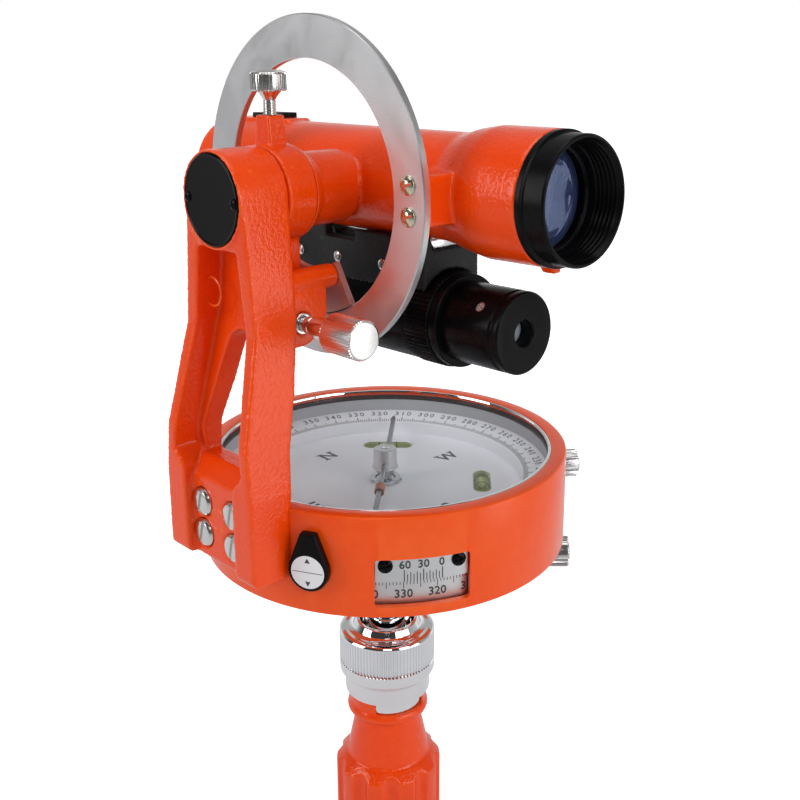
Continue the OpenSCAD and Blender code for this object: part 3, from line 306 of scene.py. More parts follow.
def knurled(name: str, profile: Profile, seat: Seat, band: tuple[float, float], ribs: int, depth: float,
            least: float, closed: bool = False) -> Obj:
    """Turns a piece and presses straight ribs into a band of it.

    Args:
        name: name of the piece.
        profile: corners as (radius, height) or (radius, height, fillet).
        seat: where the piece goes.
        band: lowest and highest height of the ribbed band.
        ribs: number of ribs.
        depth: depth of the grooves.
        least: only what lies outside this radius is ribbed.
        closed: true for a ring.
    """
    steps = ribs * 4
    piece = spin_round(name, soften(profile, closed=closed), steps)
    edit("DESELECT")
    leave_edit()
    outer = 0.0
    for vertex in piece.data.vertices:
        x, y, z = vertex.co / MM
        sector = round(math.atan2(y, x) / math.tau * steps) % 4
        radius = math.hypot(x, y)
        if band[0] <= z <= band[1] and radius > least and sector > 1:
            vertex.select = True
            outer = max(outer, radius)
    bpy.ops.object.mode_set(mode="EDIT")
    shrink = (outer - depth) / outer
    bpy.ops.transform.resize(value=(shrink, shrink, 1.0), center_override=(0, 0, 0))
    leave_edit()
    return settle(piece, seat)


def slab(name: str, outline: Profile, height: float, seat: Seat, edge: float = 0.2, segments: int = 2,
         fillet: float = 0.0) -> Obj:
    """Makes a plate from its outline: draws it, fills it, extrudes it and rounds its edges.

    Args:
        name: name of the piece.
        outline: corners as (x, y) or (x, y, fillet), in order.
        height: thickness along the seat's Z.
        seat: where the piece goes.
        edge: radius of the long edges.
        segments: facets on a rounded edge.
        fillet: usual radius of the outline's corners.
    """
    corners = soften(outline, fillet, True)
    plate = draw_line(name, [(x, y, 0.0) for x, y in corners])
    bpy.ops.mesh.remove_doubles(threshold=1e-6)
    bpy.ops.mesh.edge_face_add()
    bpy.ops.mesh.extrude_region_move(TRANSFORM_OT_translate={"value": (0, 0, height * MM)})
    close_shell()
    leave_edit()
    if edge > 0:
        modify(plate, "BEVEL", width=edge * MM, segments=segments, limit_method="ANGLE",
               angle_limit=math.radians(BEVEL_ANGLE))
    return settle(plate, seat)


def oblong(half_x: float, half_y: float, x: float = 0.0, y: float = 0.0) -> Profile:
    """Returns the outline of a rectangle round a middle."""
    return [(x - half_x, y - half_y), (x + half_x, y - half_y), (x + half_x, y + half_y),
            (x - half_x, y + half_y)]


def drill(radius: float, start: float, end: float, seat: Seat, fillet: float = 0.25) -> Obj:
    """Makes a round cutter between two heights of a seat."""
    return turned("hole", [(0, start), (radius, start, 0), (radius, end, 0), (0, end)], seat, fillet,
                  steps=32)


def carve(piece: Obj, *cutters: Obj) -> Obj:
    """Cuts other solids out of a piece and removes them.

    Args:
        piece: what is cut.
        cutters: solids to cut away.
    """
    for cutter in cutters:
        choose(piece)
        modify(piece, "BOOLEAN", operation="DIFFERENCE", solver="EXACT", object=cutter)
        bpy.data.objects.remove(cutter, do_unlink=True)
    choose(piece)
    bpy.ops.object.shade_smooth_by_angle(angle=math.radians(SMOOTH_ANGLE))
    return piece


def join(name: str, pieces: Sequence[Obj]) -> Obj:
    """Joins several meshes into one piece."""
    choose(*pieces)
    if len(pieces) > 1:
        bpy.ops.object.join()
    return call(bpy.context.view_layer.objects.active, name)


def casting(name: str, node: str, voxel: float, passes: int) -> Obj:
    """Makes a cast piece from a copy of its node, with the soft edges of a casting.

    The copy is remeshed while it stands at a slant, so that its edges don't run along the grid.

    Args:
        name: name of the new piece.
        node: node whose shape it keeps.
        voxel: size of the remeshed faces.
        passes: smoothing passes, which set the edge radius.
    """
    choose(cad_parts[node])
    bpy.ops.object.duplicate()
    piece = call(bpy.context.object, name)
    world = piece.matrix_world.copy()
    piece.parent = None
    bake(piece, world)
    bpy.ops.mesh.customdata_custom_splitnormals_clear()
    edit()
    close_shell()
    leave_edit()
    bake(piece, SLANT)
    modify(piece, "REMESH", mode="VOXEL", voxel_size=voxel * MM, use_smooth_shade=True)
    modify(piece, "SMOOTH", factor=0.5, iterations=passes)
    bake(piece, SLANT.inverted())
    bpy.ops.object.shade_smooth()
    return piece


def figures(name: str, text: str, size: float, seat: Seat, height: float = 0.05, bold: float = 0.03,
            spacing: float = 1.0) -> Obj:
    """Cuts a number or letter as a thin raised mesh.

    Args:
        name: name of the mesh.
        text: what it reads.
        size: size of the letters; a digit is 0.7 of it high.
        seat: where its middle goes, facing the seat's Z, upright along its Y.
        height: how far it stands on each side of the seat.
        bold: how far each stroke is widened on both sides.
        spacing: how far the characters stand apart, as a share of the usual.
    """
    choose()
    bpy.ops.object.text_add(location=(0, 0, 0))
    letter = bpy.context.object
    letter.name = name
    letter.data.body = text
    letter.data.size = size * MM
    letter.data.align_x = "CENTER"
    letter.data.align_y = "CENTER"
    letter.data.extrude = height * MM
    letter.data.offset = bold * MM
    letter.data.space_character = spacing
    letter.data.resolution_u = 2
    bpy.ops.object.convert(target="MESH")
    letter = bpy.context.object
    edit()
    close_shell()
    leave_edit()
    return settle(letter, seat)


@dataclass(frozen=True)
class Marks:
    """A ring of equal marks, printed on a disc, a cone or a drum.

    radius and z are those of the middle of a mark, count marks stand step degrees apart from first,
    and slope is how far a mark's outer end is lifted, in degrees.
    """

    radius: float
    z: float
    length: float
    width: float
    count: int
    step: float
    first: float = 0.0
    slope: float = 0.0
    facing: Facing = Facing.UP
    height: float = 0.06

    def build(self, name: str, seat: Seat) -> Obj:
        """Builds the ring of marks as one mesh: one mark, spun in copies.

        Args:
            name: name of the mesh.
            seat: the ring's own axes.
        """
        choose()
        bpy.ops.mesh.primitive_plane_add(size=MM, location=(0, 0, 0))
        ring = call(bpy.context.object, name)
        edit()
        bpy.ops.transform.resize(value=(self.length, self.width, 1.0), center_override=(0, 0, 0))
        bpy.ops.transform.translate(value=(0, 0, -self.height / 2 * MM))
        bpy.ops.mesh.extrude_region_move(TRANSFORM_OT_translate={"value": (0, 0, self.height * MM)})
        close_shell()
        leave_edit()
        lean = 90.0 if self.facing is Facing.OUT else -self.slope
        turn = Matrix.Rotation(math.radians(self.first), 4, "Z")
        move = Matrix.Translation((self.radius * MM, 0, self.z * MM))
        bake(ring, turn @ move @ Matrix.Rotation(math.radians(lean), 4, "Y"))
        if self.count > 1:
            edit()
            bpy.ops.mesh.spin(steps=self.count - 1, dupli=True,
                              angle=-math.radians(self.step * (self.count - 1)), center=(0, 0, 0),
                              axis=(0, 0, 1))
            leave_edit()
        choose(ring)
        return bake(ring, seat.matrix())


def printed(*rings: Marks, seat: Seat = Seat()) -> list[Obj]:
    """Builds rings of marks on one seat."""
    return [ring.build("ring", seat) for ring in rings]


def coil(name: str, radius: float, wire: float, pitch: float, turns: int, seat: Seat) -> Obj:
    """Winds a wire into a coil along the seat's Z.

    Args:
        name: name of the piece.
        radius: radius of the wire's middle.
        wire: wire diameter.
        pitch: rise of one turn.
        turns: number of turns.
        seat: where the coil starts.
    """
    choose()
    bpy.ops.mesh.primitive_circle_add(vertices=8, radius=wire / 2 * MM, fill_type="NGON", location=(0, 0, 0))
    section = call(bpy.context.object, name)
    edit()
    bpy.ops.transform.rotate(value=math.pi / 2, orient_axis="X", center_override=(0, 0, 0))
    bpy.ops.transform.translate(value=(radius * MM, 0, 0))
    bpy.ops.mesh.delete(type="ONLY_FACE")
    leave_edit()
    steps = 24 * turns
    modify(section, "SCREW", axis="Z", angle=math.tau * turns, screw_offset=pitch * turns * MM, steps=steps,
           render_steps=steps)
    edit()
    bpy.ops.mesh.remove_doubles(threshold=1e-7)
    bpy.ops.mesh.select_all(action="DESELECT")
    bpy.ops.mesh.select_non_manifold()
    bpy.ops.mesh.edge_face_add()
    close_shell()
    leave_edit()
    return settle(section, seat)


def slotted_screw(name: str, seat: Seat, radius: float, height: float, slots: Sequence[float], slot: float,
                  deep: float, dome: float, length: float = 0.0) -> Obj:
    """Turns a screw head and cuts its slot or its cross.

    Args:
        name: name of the piece.
        seat: middle of the head's lower face, Z pointing out.
        radius: radius of the head.
        height: height of the head above the seat.
        slots: angle of each slot; two slots make a cross.
        slot: width of a slot.
        deep: depth of a slot.
        dome: how far the head's edge is lower than its middle.
        length: length of the shank below the seat.
    """
    shank = radius * 0.45
    profile = [(0, height), (radius * 0.55, height - dome * 0.2, 0.8), (radius * 0.86, height - dome, 0.5),
               (radius, height * 0.35, 0.2), (radius, 0, 0.1), (shank, 0, 0), (shank, -length, 0),
               (0, -length)]
    if length <= 0:
        profile = profile[:5] + [(0, 0)]
    screw = turned(name, profile, Seat(), 0.15, steps=48)
    reach = radius * (1.6 if len(slots) > 1 else 2.2)
    for angle in slots:
        blade = slab(name + "_slot", oblong(reach / 2, slot / 2), deep + 1, Seat((0, 0, height - deep)), 0)
        choose(blade)
        carve(screw, bake(blade, Matrix.Rotation(math.radians(angle), 4, "Z")))
    return settle(screw, seat)


def screw_set(name: str, seats: Sequence[Seat], *shape: object) -> Obj:
    """Builds a screw on the first seat and copies it to the others.

    Args:
        name: name of the whole set.
        seats: where the screws go.
        shape: what slotted_screw takes after its seat.
    """
    made = [slotted_screw(name, seats[0], *shape)]
    for seat in seats[1:]:
        choose(made[0])
        bpy.ops.object.duplicate()
        made.append(bake(bpy.context.object, seat.matrix() @ seats[0].matrix().inverted()))
    return join(name, made)


# Finishes


def feed(tree: Tree, node: bpy.types.Node, inputs: dict) -> None:
    """Joins sockets to a node's inputs and sets the others.

    Args:
        tree: node tree.
        node: the node.
        inputs: value or output socket for each named or numbered input.
    """
    for key, value in inputs.items():
        if isinstance(value, bpy.types.NodeSocket):
            tree.links.new(value, node.inputs[key])
        else:
            node.inputs[key].default_value = value


def put(tree: Tree, kind: str, inputs: dict | None = None, **settings: object) -> bpy.types.Node:
    """Adds a node, sets it and joins its inputs.

    Args:
        tree: node tree.
        kind: node type, without its usual prefix.
        inputs: value or output socket for each named or numbered input.
        settings: properties of the node.
    """
    node = tree.nodes.new("ShaderNode" + kind)
    for key, value in settings.items():
        setattr(node, key, value)
    feed(tree, node, inputs or {})
    return node


def maths(tree: Tree, operation: str, *values: Socket | float) -> Socket:
    """Returns the result of a sum on values or sockets."""
    return put(tree, "Math", dict(enumerate(values)), operation=operation).outputs[0]


def new_group(name: str, inputs: Sequence[tuple[str, str, float]],
              outputs: Sequence[tuple[str, str]]) -> tuple:
    """Starts a shader node group with named sockets.

    Args:
        name: name of the group.
        inputs: name, socket type and usual value of each input.
        outputs: name and socket type of each output.

    Returns:
        The group's tree, its input node and its output node.
    """
    tree = bpy.data.node_groups.new(name, "ShaderNodeTree")
    for label, kind, value in inputs:
        socket = tree.interface.new_socket(name=label, in_out="INPUT", socket_type=kind)
        if kind == "NodeSocketFloat":
            socket.default_value = value
    for label, kind in outputs:
        tree.interface.new_socket(name=label, in_out="OUTPUT", socket_type=kind)
    return tree, tree.nodes.new("NodeGroupInput"), tree.nodes.new("NodeGroupOutput")


def relief_group() -> Tree:
    """Builds the group for a surface relief: two sizes of bumps, as a normal, and a slow tone change."""
    tree, enter, leave = new_group(
        "surface_relief",
        [("Vector", "NodeSocketVector", 0), ("Scale", "NodeSocketFloat", 900),
         ("Strength", "NodeSocketFloat", 0.3), ("Distance", "NodeSocketFloat", 0.0002)],
        [("Normal", "NodeSocketVector"), ("Tone", "NodeSocketFloat")])
    vector, scale, strength, distance = enter.outputs[:4]
    coarse = put(tree, "TexNoise", {"Vector": vector, "Scale": scale, "Detail": 1.5, "Roughness": 0.4})
    cells = put(tree, "TexVoronoi", {"Vector": vector, "Scale": maths(tree, "MULTIPLY", scale, 2.7),
                                     "Smoothness": 0.8}, feature="SMOOTH_F1")
    height = maths(tree, "MULTIPLY_ADD", cells.outputs["Distance"], -0.35, coarse.outputs[0])
    bump = put(tree, "Bump", {"Strength": strength, "Distance": distance, "Height": height})
    slow = put(tree, "TexNoise", {"Vector": vector, "Scale": 45.0, "Detail": 3.0, "Roughness": 0.55})
    feed(tree, leave, {"Normal": bump.outputs[0], "Tone": slow.outputs[0]})
    return tree


def grain_group() -> Tree:
    """Builds the group for the grain of worked metal: long streaks as a value and a normal."""
    tree, enter, leave = new_group(
        "worked_grain",
        [("Vector", "NodeSocketVector", 0), ("Along", "NodeSocketFloat", 120),
         ("Across", "NodeSocketFloat", 6000), ("Strength", "NodeSocketFloat", 0.1)],
        [("Normal", "NodeSocketVector"), ("Value", "NodeSocketFloat")])
    split = put(tree, "SeparateXYZ", {0: enter.outputs["Vector"]})
    parts = {axis: maths(tree, "MULTIPLY", split.outputs[axis], enter.outputs[speed])
             for axis, speed in (("X", "Across"), ("Y", "Along"), ("Z", "Across"))}
    both = put(tree, "CombineXYZ", parts)
    streaks = put(tree, "TexNoise", {"Vector": both.outputs[0], "Scale": 1.0, "Detail": 3.0,
                                     "Roughness": 0.65})
    bump = put(tree, "Bump", {"Strength": enter.outputs["Strength"], "Distance": 0.0001,
                              "Height": streaks.outputs[0]})
    feed(tree, leave, {"Normal": bump.outputs[0], "Value": streaks.outputs[0]})
    return tree


def edge_group() -> Tree:
    """Builds the group that finds worn or thinly covered edges from how sharply the surface bends."""
    tree, enter, leave = new_group(
        "edge_rub",
        [("Low", "NodeSocketFloat", 0.53), ("High", "NodeSocketFloat", 0.62),
         ("Vector", "NodeSocketVector", 0)],
        [("Mask", "NodeSocketFloat")])
    low, high, vector = enter.outputs[:3]
    geometry = put(tree, "NewGeometry")
    patch = put(tree, "TexNoise", {"Vector": vector, "Scale": 260.0, "Detail": 4.0})
    shift = maths(tree, "MULTIPLY_ADD", patch.outputs[0], 0.06, geometry.outputs["Pointiness"])
    mask = put(tree, "MapRange", {"Value": shift, "From Min": low, "From Max": high},
               interpolation_type="SMOOTHSTEP")
    feed(tree, leave, {"Mask": mask.outputs[0]})
    return tree


def speck_group() -> Tree:
    """Builds the group for fine dust and fingering: a sparse mask for roughness and colour."""
    tree, enter, leave = new_group(
        "fine_dust",
        [("Vector", "NodeSocketVector", 0), ("Scale", "NodeSocketFloat", 500),
         ("Amount", "NodeSocketFloat", 0.5)],
        [("Mask", "NodeSocketFloat"), ("Smear", "NodeSocketFloat")])
    vector, scale, amount = enter.outputs[:3]
    fine = put(tree, "TexNoise", {"Vector": vector, "Scale": scale, "Detail": 5.0, "Roughness": 0.7})
    spots = put(tree, "MapRange", {"Value": fine.outputs[0], "From Min": 0.58, "From Max": 0.72})
    smear = put(tree, "TexNoise", {"Vector": vector, "Scale": 60.0, "Detail": 2.0, "Distortion": 1.2})
    feed(tree, leave, {"Mask": maths(tree, "MULTIPLY", spots.outputs[0], amount), "Smear": smear.outputs[0]})
    return tree


@dataclass
class Effects:
    """The shader node groups that the finishes share."""

    relief: Tree = field(default_factory=relief_group)
    grain: Tree = field(default_factory=grain_group)
    edge: Tree = field(default_factory=edge_group)
    speck: Tree = field(default_factory=speck_group)


Colour = tuple[float, float, float]


def blend_colours(tree: Tree, mask: Socket, low: Colour | Socket, high: Colour) -> Socket:
    """Returns a colour between two, by a mask."""
    first = low if isinstance(low, bpy.types.NodeSocket) else (*low, 1)
    return put(tree, "Mix", {"Factor": mask, 6: first, 7: (*high, 1)}, data_type="RGBA").outputs[2]


class Coat:
    """A material in the making: its tree, its surface shader and its object coordinates."""

    def __init__(self, name: str) -> None:
        """Starts the material."""
        self.material = bpy.data.materials.new(name)
        self.material.use_nodes = True
        self.tree = self.material.node_tree
        self.tree.nodes.clear()
        self.shader = put(self.tree, "BsdfPrincipled")
        self.out = put(self.tree, "OutputMaterial", {"Surface": self.shader.outputs[0]})
        self.place = put(self.tree, "TexCoord").outputs["Object"]

    def effect(self, group: Tree, **values: float) -> bpy.types.NodeOutputs:
        """Places a shared effect with its own values and returns its outputs."""
        return put(self.tree, "Group", {"Vector": self.place, **values}, node_tree=group).outputs

    def spread(self, value: Socket, low: float, high: float) -> Socket:
        """Returns a value stretched from the middle of a noise to a range."""
        return put(self.tree, "MapRange", {"Value": value, "From Min": 0.3, "From Max": 0.7, "To Min": low,
                                           "To Max": high}).outputs[0]

    def blend(self, mask: Socket, low: Colour | Socket, high: Colour) -> Socket:
        """Returns a colour between two, by a mask."""
        return blend_colours(self.tree, mask, low, high)

    def finish(self, colour: Socket, roughness: Socket | float, **others: object) -> bpy.types.Material:
        """Sets the surface shader and returns the material.

        Args:
            colour: base colour.
            roughness: roughness.
            others: further inputs of the shader, with _ for each space in a name.
        """
        inputs = {"Base Color": colour, "Roughness": roughness}
        inputs.update({key.replace("_", " "): value for key, value in others.items()})
        feed(self.tree, self.shader, inputs)
        return self.material


@dataclass(frozen=True)
class GlossPaint:
    """Glossy stoved paint with an orange-peel skin that thins on the edges."""

    name: str
    body: Colour
    light: Colour
    thin: Colour
    roughness: tuple[float, float]
    peel: float
    strength: float
    level: float

    def build(self, effects: Effects) -> bpy.types.Material:
        """Builds the paint from the shared effects."""
        coat = Coat(self.name)
        relief = coat.effect(effects.relief, Scale=self.peel, Strength=self.strength)
        edge = coat.effect(effects.edge)
        tone = coat.blend(coat.spread(relief["Tone"], 0.0, 1.0), self.body, self.light)
        return coat.finish(coat.blend(edge["Mask"], tone, self.thin),
                           coat.spread(relief["Tone"], *self.roughness), Normal=relief["Normal"],
                           Specular_IOR_Level=self.level, Specular_Tint=(1.0, 0.88, 0.80, 1))


@dataclass(frozen=True)
class WorkedMetal:
    """Bare or plated metal, from mirror chrome to brushed plate."""

    name: str
    low: Colour
    high: Colour
    roughness: tuple[float, float]
    along: float = 400.0
    across: float = 5000.0
    strength: float = 0.05

    def build(self, effects: Effects) -> bpy.types.Material:
        """Builds the metal from the shared effects."""
        coat = Coat(self.name)
        grain = coat.effect(effects.grain, Along=self.along, Across=self.across, Strength=self.strength)
        speck = coat.effect(effects.speck)
        return coat.finish(coat.blend(coat.spread(grain["Value"], 0, 1), self.low, self.high),
                           coat.spread(speck["Smear"], *self.roughness), Normal=grain["Normal"], Metallic=1.0)


@dataclass(frozen=True)
class Moulded:
    """Plastic, rubber, lacquer or dark anodising, with a fine texture and a little dust."""

    name: str
    body: Colour
    dusty: Colour
    roughness: tuple[float, float]
    texture: float = 3000.0
    strength: float = 0.08
    dust: float = 0.4
    level: float = 0.5

    def build(self, effects: Effects) -> bpy.types.Material:
        """Builds the finish from the shared effects."""
        coat = Coat(self.name)
        relief = coat.effect(effects.relief, Scale=self.texture, Strength=self.strength, Distance=0.0001)
        speck = coat.effect(effects.speck, Amount=self.dust)
        return coat.finish(coat.blend(speck["Mask"], self.body, self.dusty),
                           coat.spread(speck["Smear"], *self.roughness), Normal=relief["Normal"],
                           Specular_IOR_Level=self.level)


@dataclass(frozen=True)
class WindowPane:
    """Thin flat glass: clear, with a mirror image that grows towards a low view."""

    name: str
    tint: Colour
    gain: float

    def build(self, effects: Effects) -> bpy.types.Material:
        """Builds the pane from the shared effects."""
        coat = Coat(self.name)
        tree = coat.tree
        speck = coat.effect(effects.speck)
        through = put(tree, "BsdfTransparent", {"Color": (*self.tint, 1)})
        slope = put(tree, "LayerWeight", {"Blend": 0.5})
        share = maths(tree, "MULTIPLY_ADD", maths(tree, "POWER", slope.outputs["Facing"], 4.0), self.gain,
                      0.02)
        mix = put(tree, "MixShader", {0: share, 1: through.outputs[0], 2: coat.shader.outputs[0]})
        feed(tree, coat.out, {"Surface": mix.outputs[0]})
        return coat.finish(coat.blend(speck["Smear"], (0.92, 0.95, 0.96), (1.0, 1.0, 1.0)), 0.01,
                           Metallic=1.0)


@dataclass(frozen=True)
class CoatedLens:
    """Lens with a coloured coating in front of a dark tube."""

    name: str
    deep: Colour
    pale: Colour
    tint: Colour
    roughness: float
    level: float

    def build(self, effects: Effects) -> bpy.types.Material:
        """Builds the coated lens from the shared effects."""
        coat = Coat(self.name)
        speck = coat.effect(effects.speck)
        return coat.finish(coat.blend(speck["Smear"], self.deep, self.pale),
                           coat.spread(speck["Smear"], self.roughness, self.roughness * 1.6),
                           Specular_IOR_Level=self.level, Specular_Tint=(*self.tint, 1))


class Palette:
    """All the finishes of the compass, built once."""

    def __init__(self) -> None:
        """Builds every finish."""
        effects = Effects()
        built = [
            GlossPaint("orange_gloss", (0.88, 0.068, 0.002), (0.92, 0.082, 0.003), (0.94, 0.120, 0.012),
                       (0.16, 0.24), 760.0, 0.35, 0.45),
            GlossPaint("orange_cast", (0.88, 0.058, 0.002), (0.92, 0.070, 0.002), (0.94, 0.110, 0.010),
                       (0.13, 0.20), 860.0, 0.75, 0.5),
            WorkedMetal("mirror_chrome", (0.86, 0.87, 0.89), (0.90, 0.91, 0.92), (0.03, 0.06), strength=0.01),
            WorkedMetal("satin_nickel", (0.72, 0.71, 0.69), (0.80, 0.79, 0.77), (0.14, 0.22), strength=0.03),
            WorkedMetal("warm_nickel", (0.74, 0.65, 0.48), (0.84, 0.75, 0.58), (0.14, 0.24), strength=0.03),
            WorkedMetal("brushed_ring", (0.62, 0.62, 0.63), (0.74, 0.74, 0.75), (0.30, 0.42), 2600.0, 2600.0,
                        0.16),
            WorkedMetal("turned_edge", (0.80, 0.80, 0.81), (0.88, 0.88, 0.89), (0.16, 0.26), 500.0, 5000.0,
                        0.05),
            WorkedMetal("scale_metal", (0.70, 0.70, 0.70), (0.80, 0.80, 0.80), (0.34, 0.46), 300.0, 5000.0,
                        0.08),
            WorkedMetal("bright_steel", (0.55, 0.56, 0.58), (0.68, 0.69, 0.71), (0.18, 0.28), strength=0.05),
            WorkedMetal("yellow_brass", (0.74, 0.52, 0.22), (0.82, 0.60, 0.28), (0.22, 0.34), strength=0.05),
            WorkedMetal("copper_wire", (0.75, 0.33, 0.18), (0.85, 0.42, 0.26), (0.25, 0.4), strength=0.04),
            WorkedMetal("needle_steel", (0.30, 0.31, 0.33), (0.42, 0.43, 0.45), (0.28, 0.4), strength=0.05),
            Moulded("black_satin", (0.0035, 0.0036, 0.0042), (0.02, 0.02, 0.02), (0.20, 0.32),
                    dust=0.1, level=0.11),
            Moulded("black_gloss", (0.0025, 0.0025, 0.003), (0.012, 0.012, 0.012), (0.07, 0.14),
                    strength=0.02, dust=0.1, level=0.12),
            Moulded("black_grained", (0.012, 0.013, 0.014), (0.07, 0.08, 0.08), (0.42, 0.60), 1500.0, 0.7,
                    0.5, 0.3),
            Moulded("dark_rubber", (0.010, 0.010, 0.010), (0.04, 0.04, 0.04), (0.5, 0.7), 2200.0, 0.2, 0.3,
                    0.3),
            Moulded("dial_white", (0.92, 0.94, 0.97), (0.88, 0.90, 0.94), (0.32, 0.42), 2500.0, 0.02, 0.3),
            Moulded("mark_pale", (0.17, 0.18, 0.20), (0.22, 0.23, 0.25), (0.5, 0.6), 3000.0, 0.02, 0.4),
            Moulded("wall_grey", (0.42, 0.43, 0.45), (0.36, 0.37, 0.39), (0.4, 0.5), 2500.0, 0.04, 0.3),
            Moulded("liner_white", (0.70, 0.70, 0.66), (0.6, 0.6, 0.56), (0.4, 0.5), 2500.0, 0.05, 0.3),
            Moulded("mark_ink", (0.045, 0.047, 0.052), (0.09, 0.09, 0.10), (0.5, 0.6), 3000.0, 0.02, 0.4),
            Moulded("mark_grey", (0.075, 0.08, 0.09), (0.12, 0.125, 0.14), (0.5, 0.6), 3000.0, 0.02, 0.4),
            Moulded("bed_pale", (0.50, 0.53, 0.46), (0.44, 0.47, 0.41), (0.4, 0.5), 3000.0, 0.02, 0.3),
            Moulded("label_white", (0.80, 0.81, 0.84), (0.74, 0.75, 0.78), (0.3, 0.4), 3000.0, 0.02, 0.3),
            WindowPane("window_glass", (0.985, 0.992, 1.0), 0.16),
            CoatedLens("coated_glass", (0.032, 0.046, 0.105), (0.046, 0.062, 0.130), (0.72, 0.82, 1.0), 0.04,
                       0.9),
            CoatedLens("pale_lens", (0.28, 0.32, 0.37), (0.38, 0.42, 0.46), (0.9, 0.95, 1.0), 0.08, 0.6),
            WindowPane("vial_glass", (0.76, 0.80, 0.52), 0.6),
            WindowPane("lens_skin", (0.92, 0.94, 1.0), 0.4),
            CoatedLens("bubble_glass", (0.80, 0.88, 0.70), (0.88, 0.94, 0.78), (1.0, 1.0, 1.0), 0.15, 0.5),
        ]
        self.made = {finish.name: finish.build(effects) for finish in built}

    def __getitem__(self, name: str) -> bpy.types.Material:
        """Returns a finish by its name."""
        return self.made[name]


# Sub-assemblies

SLOT_FINISH = {"orange_paint": "orange_gloss", "chrome": "mirror_chrome", "bare_aluminium": "brushed_ring",
               "steel": "bright_steel", "brass": "yellow_brass", "black_anodised": "black_satin",
               "black_rubber": "dark_rubber", "dial_white": "dial_white", "liner_plastic": "liner_white",
               "glass": "window_glass", "coated_glass": "coated_glass", "vial": "vial_glass",
               "copper": "copper_wire"}


@dataclass
class SubAssembly:
    """What every sub-assembly shares: the palette, and how a finished piece is handed over."""

    palette: Palette
    body: Body

    def keep(self, piece: Obj, slot: str, finish: str, *nodes: str, body: Body | None = None) -> Obj:
        """Dresses a piece, lets it ride and hides the nodes that it stands for.

        Args:
            piece: finished piece.
            slot: material slot in the record; not used.
            finish: name of its finish.
            nodes: nodes that it stands for.
            body: what it rides on, when that isn't the sub-assembly's own body.
        """
        piece.data.materials.clear()
        piece.data.materials.append(self.palette[finish])
        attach(piece, (body or self.body).value)
        if nodes:
            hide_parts(*nodes)
        LOG.info("%s: %d faces, %s", piece.name, len(piece.data.polygons), finish)
        return piece

    def redress(self, node: str, finish: str) -> None:
        """Gives a node that is kept as it is a better finish."""
        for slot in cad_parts[node].material_slots:
            slot.material = self.palette[finish]


@dataclass
class BallHead(SubAssembly):
    """Fluted grip, ball, clamp nut and the bearing housing under the box."""

    nut_ribs: int = 84
    nut_band: tuple[float, float] = (85.3, 95.3)
    ball_r: float = 9.8
    neck_r: float = 6.3
    clamp_angle: float = 45.0
    clamp_z: float = 125.0

    def build(self) -> None:
        """Builds the grip and the ball head."""
        self.keep(casting("grip_casting", "mount_grip", 0.5, 7), "orange_paint", "orange_cast", "mount_grip")
        self.build_nut()
        self.build_ball()
        self.keep(casting("bearing_housing", "axis_housing", 0.5, 6), "orange_paint", "orange_gloss",
                  "axis_housing", body=Body.PIVOT)
        self.build_clamp()
        self.redress("socket_insert", "bright_steel")

    def build_nut(self) -> None:
        """Builds the chromed nut with its ribs, its rolled rim and its domed top."""
        nut = knurled("clamp_nut", [
            (12.45, 73.0, 0.1), (14.9, 73.0, 0.6), (14.9, 79.2, 0.5), (16.7, 81.2, 0.7), (16.7, 84.9, 0),
            (16.7, 85.4, 0), (16.7, 90.0, 0), (16.7, 95.2, 0), (16.7, 95.45, 0.1), (16.65, 95.9, 0.3),
            (16.2, 96.6, 0.6), (14.9, 96.9, 0.7), (13.4, 96.6, 1.2), (11.9, 97.3, 1.2), (10.7, 99.6, 0.7),
            (9.6, 99.95, 0.35), (9.05, 93.4, 0.3), (12.45, 89.3, 0.2)],
                      Seat(), self.nut_band, self.nut_ribs, 0.6, 16.0, closed=True)
        self.keep(nut, "chrome", "mirror_chrome", "ball_clamp_nut", body=Body.NUT)

    def build_ball(self) -> None:
        """Builds the ball with its neck, flange and spindle."""
        arc = [(self.ball_r * y, BALL_Z - self.ball_r * x, 0.0) for x, y, _ in map(bearing, range(0, 141, 7))]
        ball = turned("ball_and_neck", arc + [
            (self.neck_r, 96.2, 0.4), (self.neck_r, 101.0, 0.3), (6.0, 101.4, 0.2), (self.neck_r, 101.8, 0.3),
            (self.neck_r, 107.6, 0.6), (11.9, 108.0, 0.5), (12.0, 110.9, 0.3), (5.0, 111.0, 0.0),
            (5.0, 142.2, 0.4), (0.0, 142.3)], Seat())
        self.keep(ball, "chrome", "mirror_chrome", "ball_stud", body=Body.PIVOT)

    def build_clamp(self) -> None:
        """Builds the horizontal clamp screw with its ribbed knob."""
        seat = round_seat(self.clamp_angle, 0.0, self.clamp_z)
        screw = knurled("azimuth_clamp", [
            (0, 9.35), (1.9, 9.4, 0.2), (1.9, 19.3, 0.1), (2.6, 19.4, 0.2), (2.6, 48.9, 0.3),
            (3.6, 49.9, 0.3), (5.0, 50.0, 0.4), (5.3, 50.6, 0.2), (5.3, 56.0, 0), (5.3, 61.8, 0.3),
            (4.9, 62.4, 0.3), (4.2, 62.3, 0.3), (3.9, 62.0, 0.3), (0, 62.0)], seat, (50.4, 61.9), 34, 0.32,
            5.1)
        self.keep(screw, "chrome", "satin_nickel", "azimuth_clamp_screw", body=Body.AZIMUTH_CLAMP)


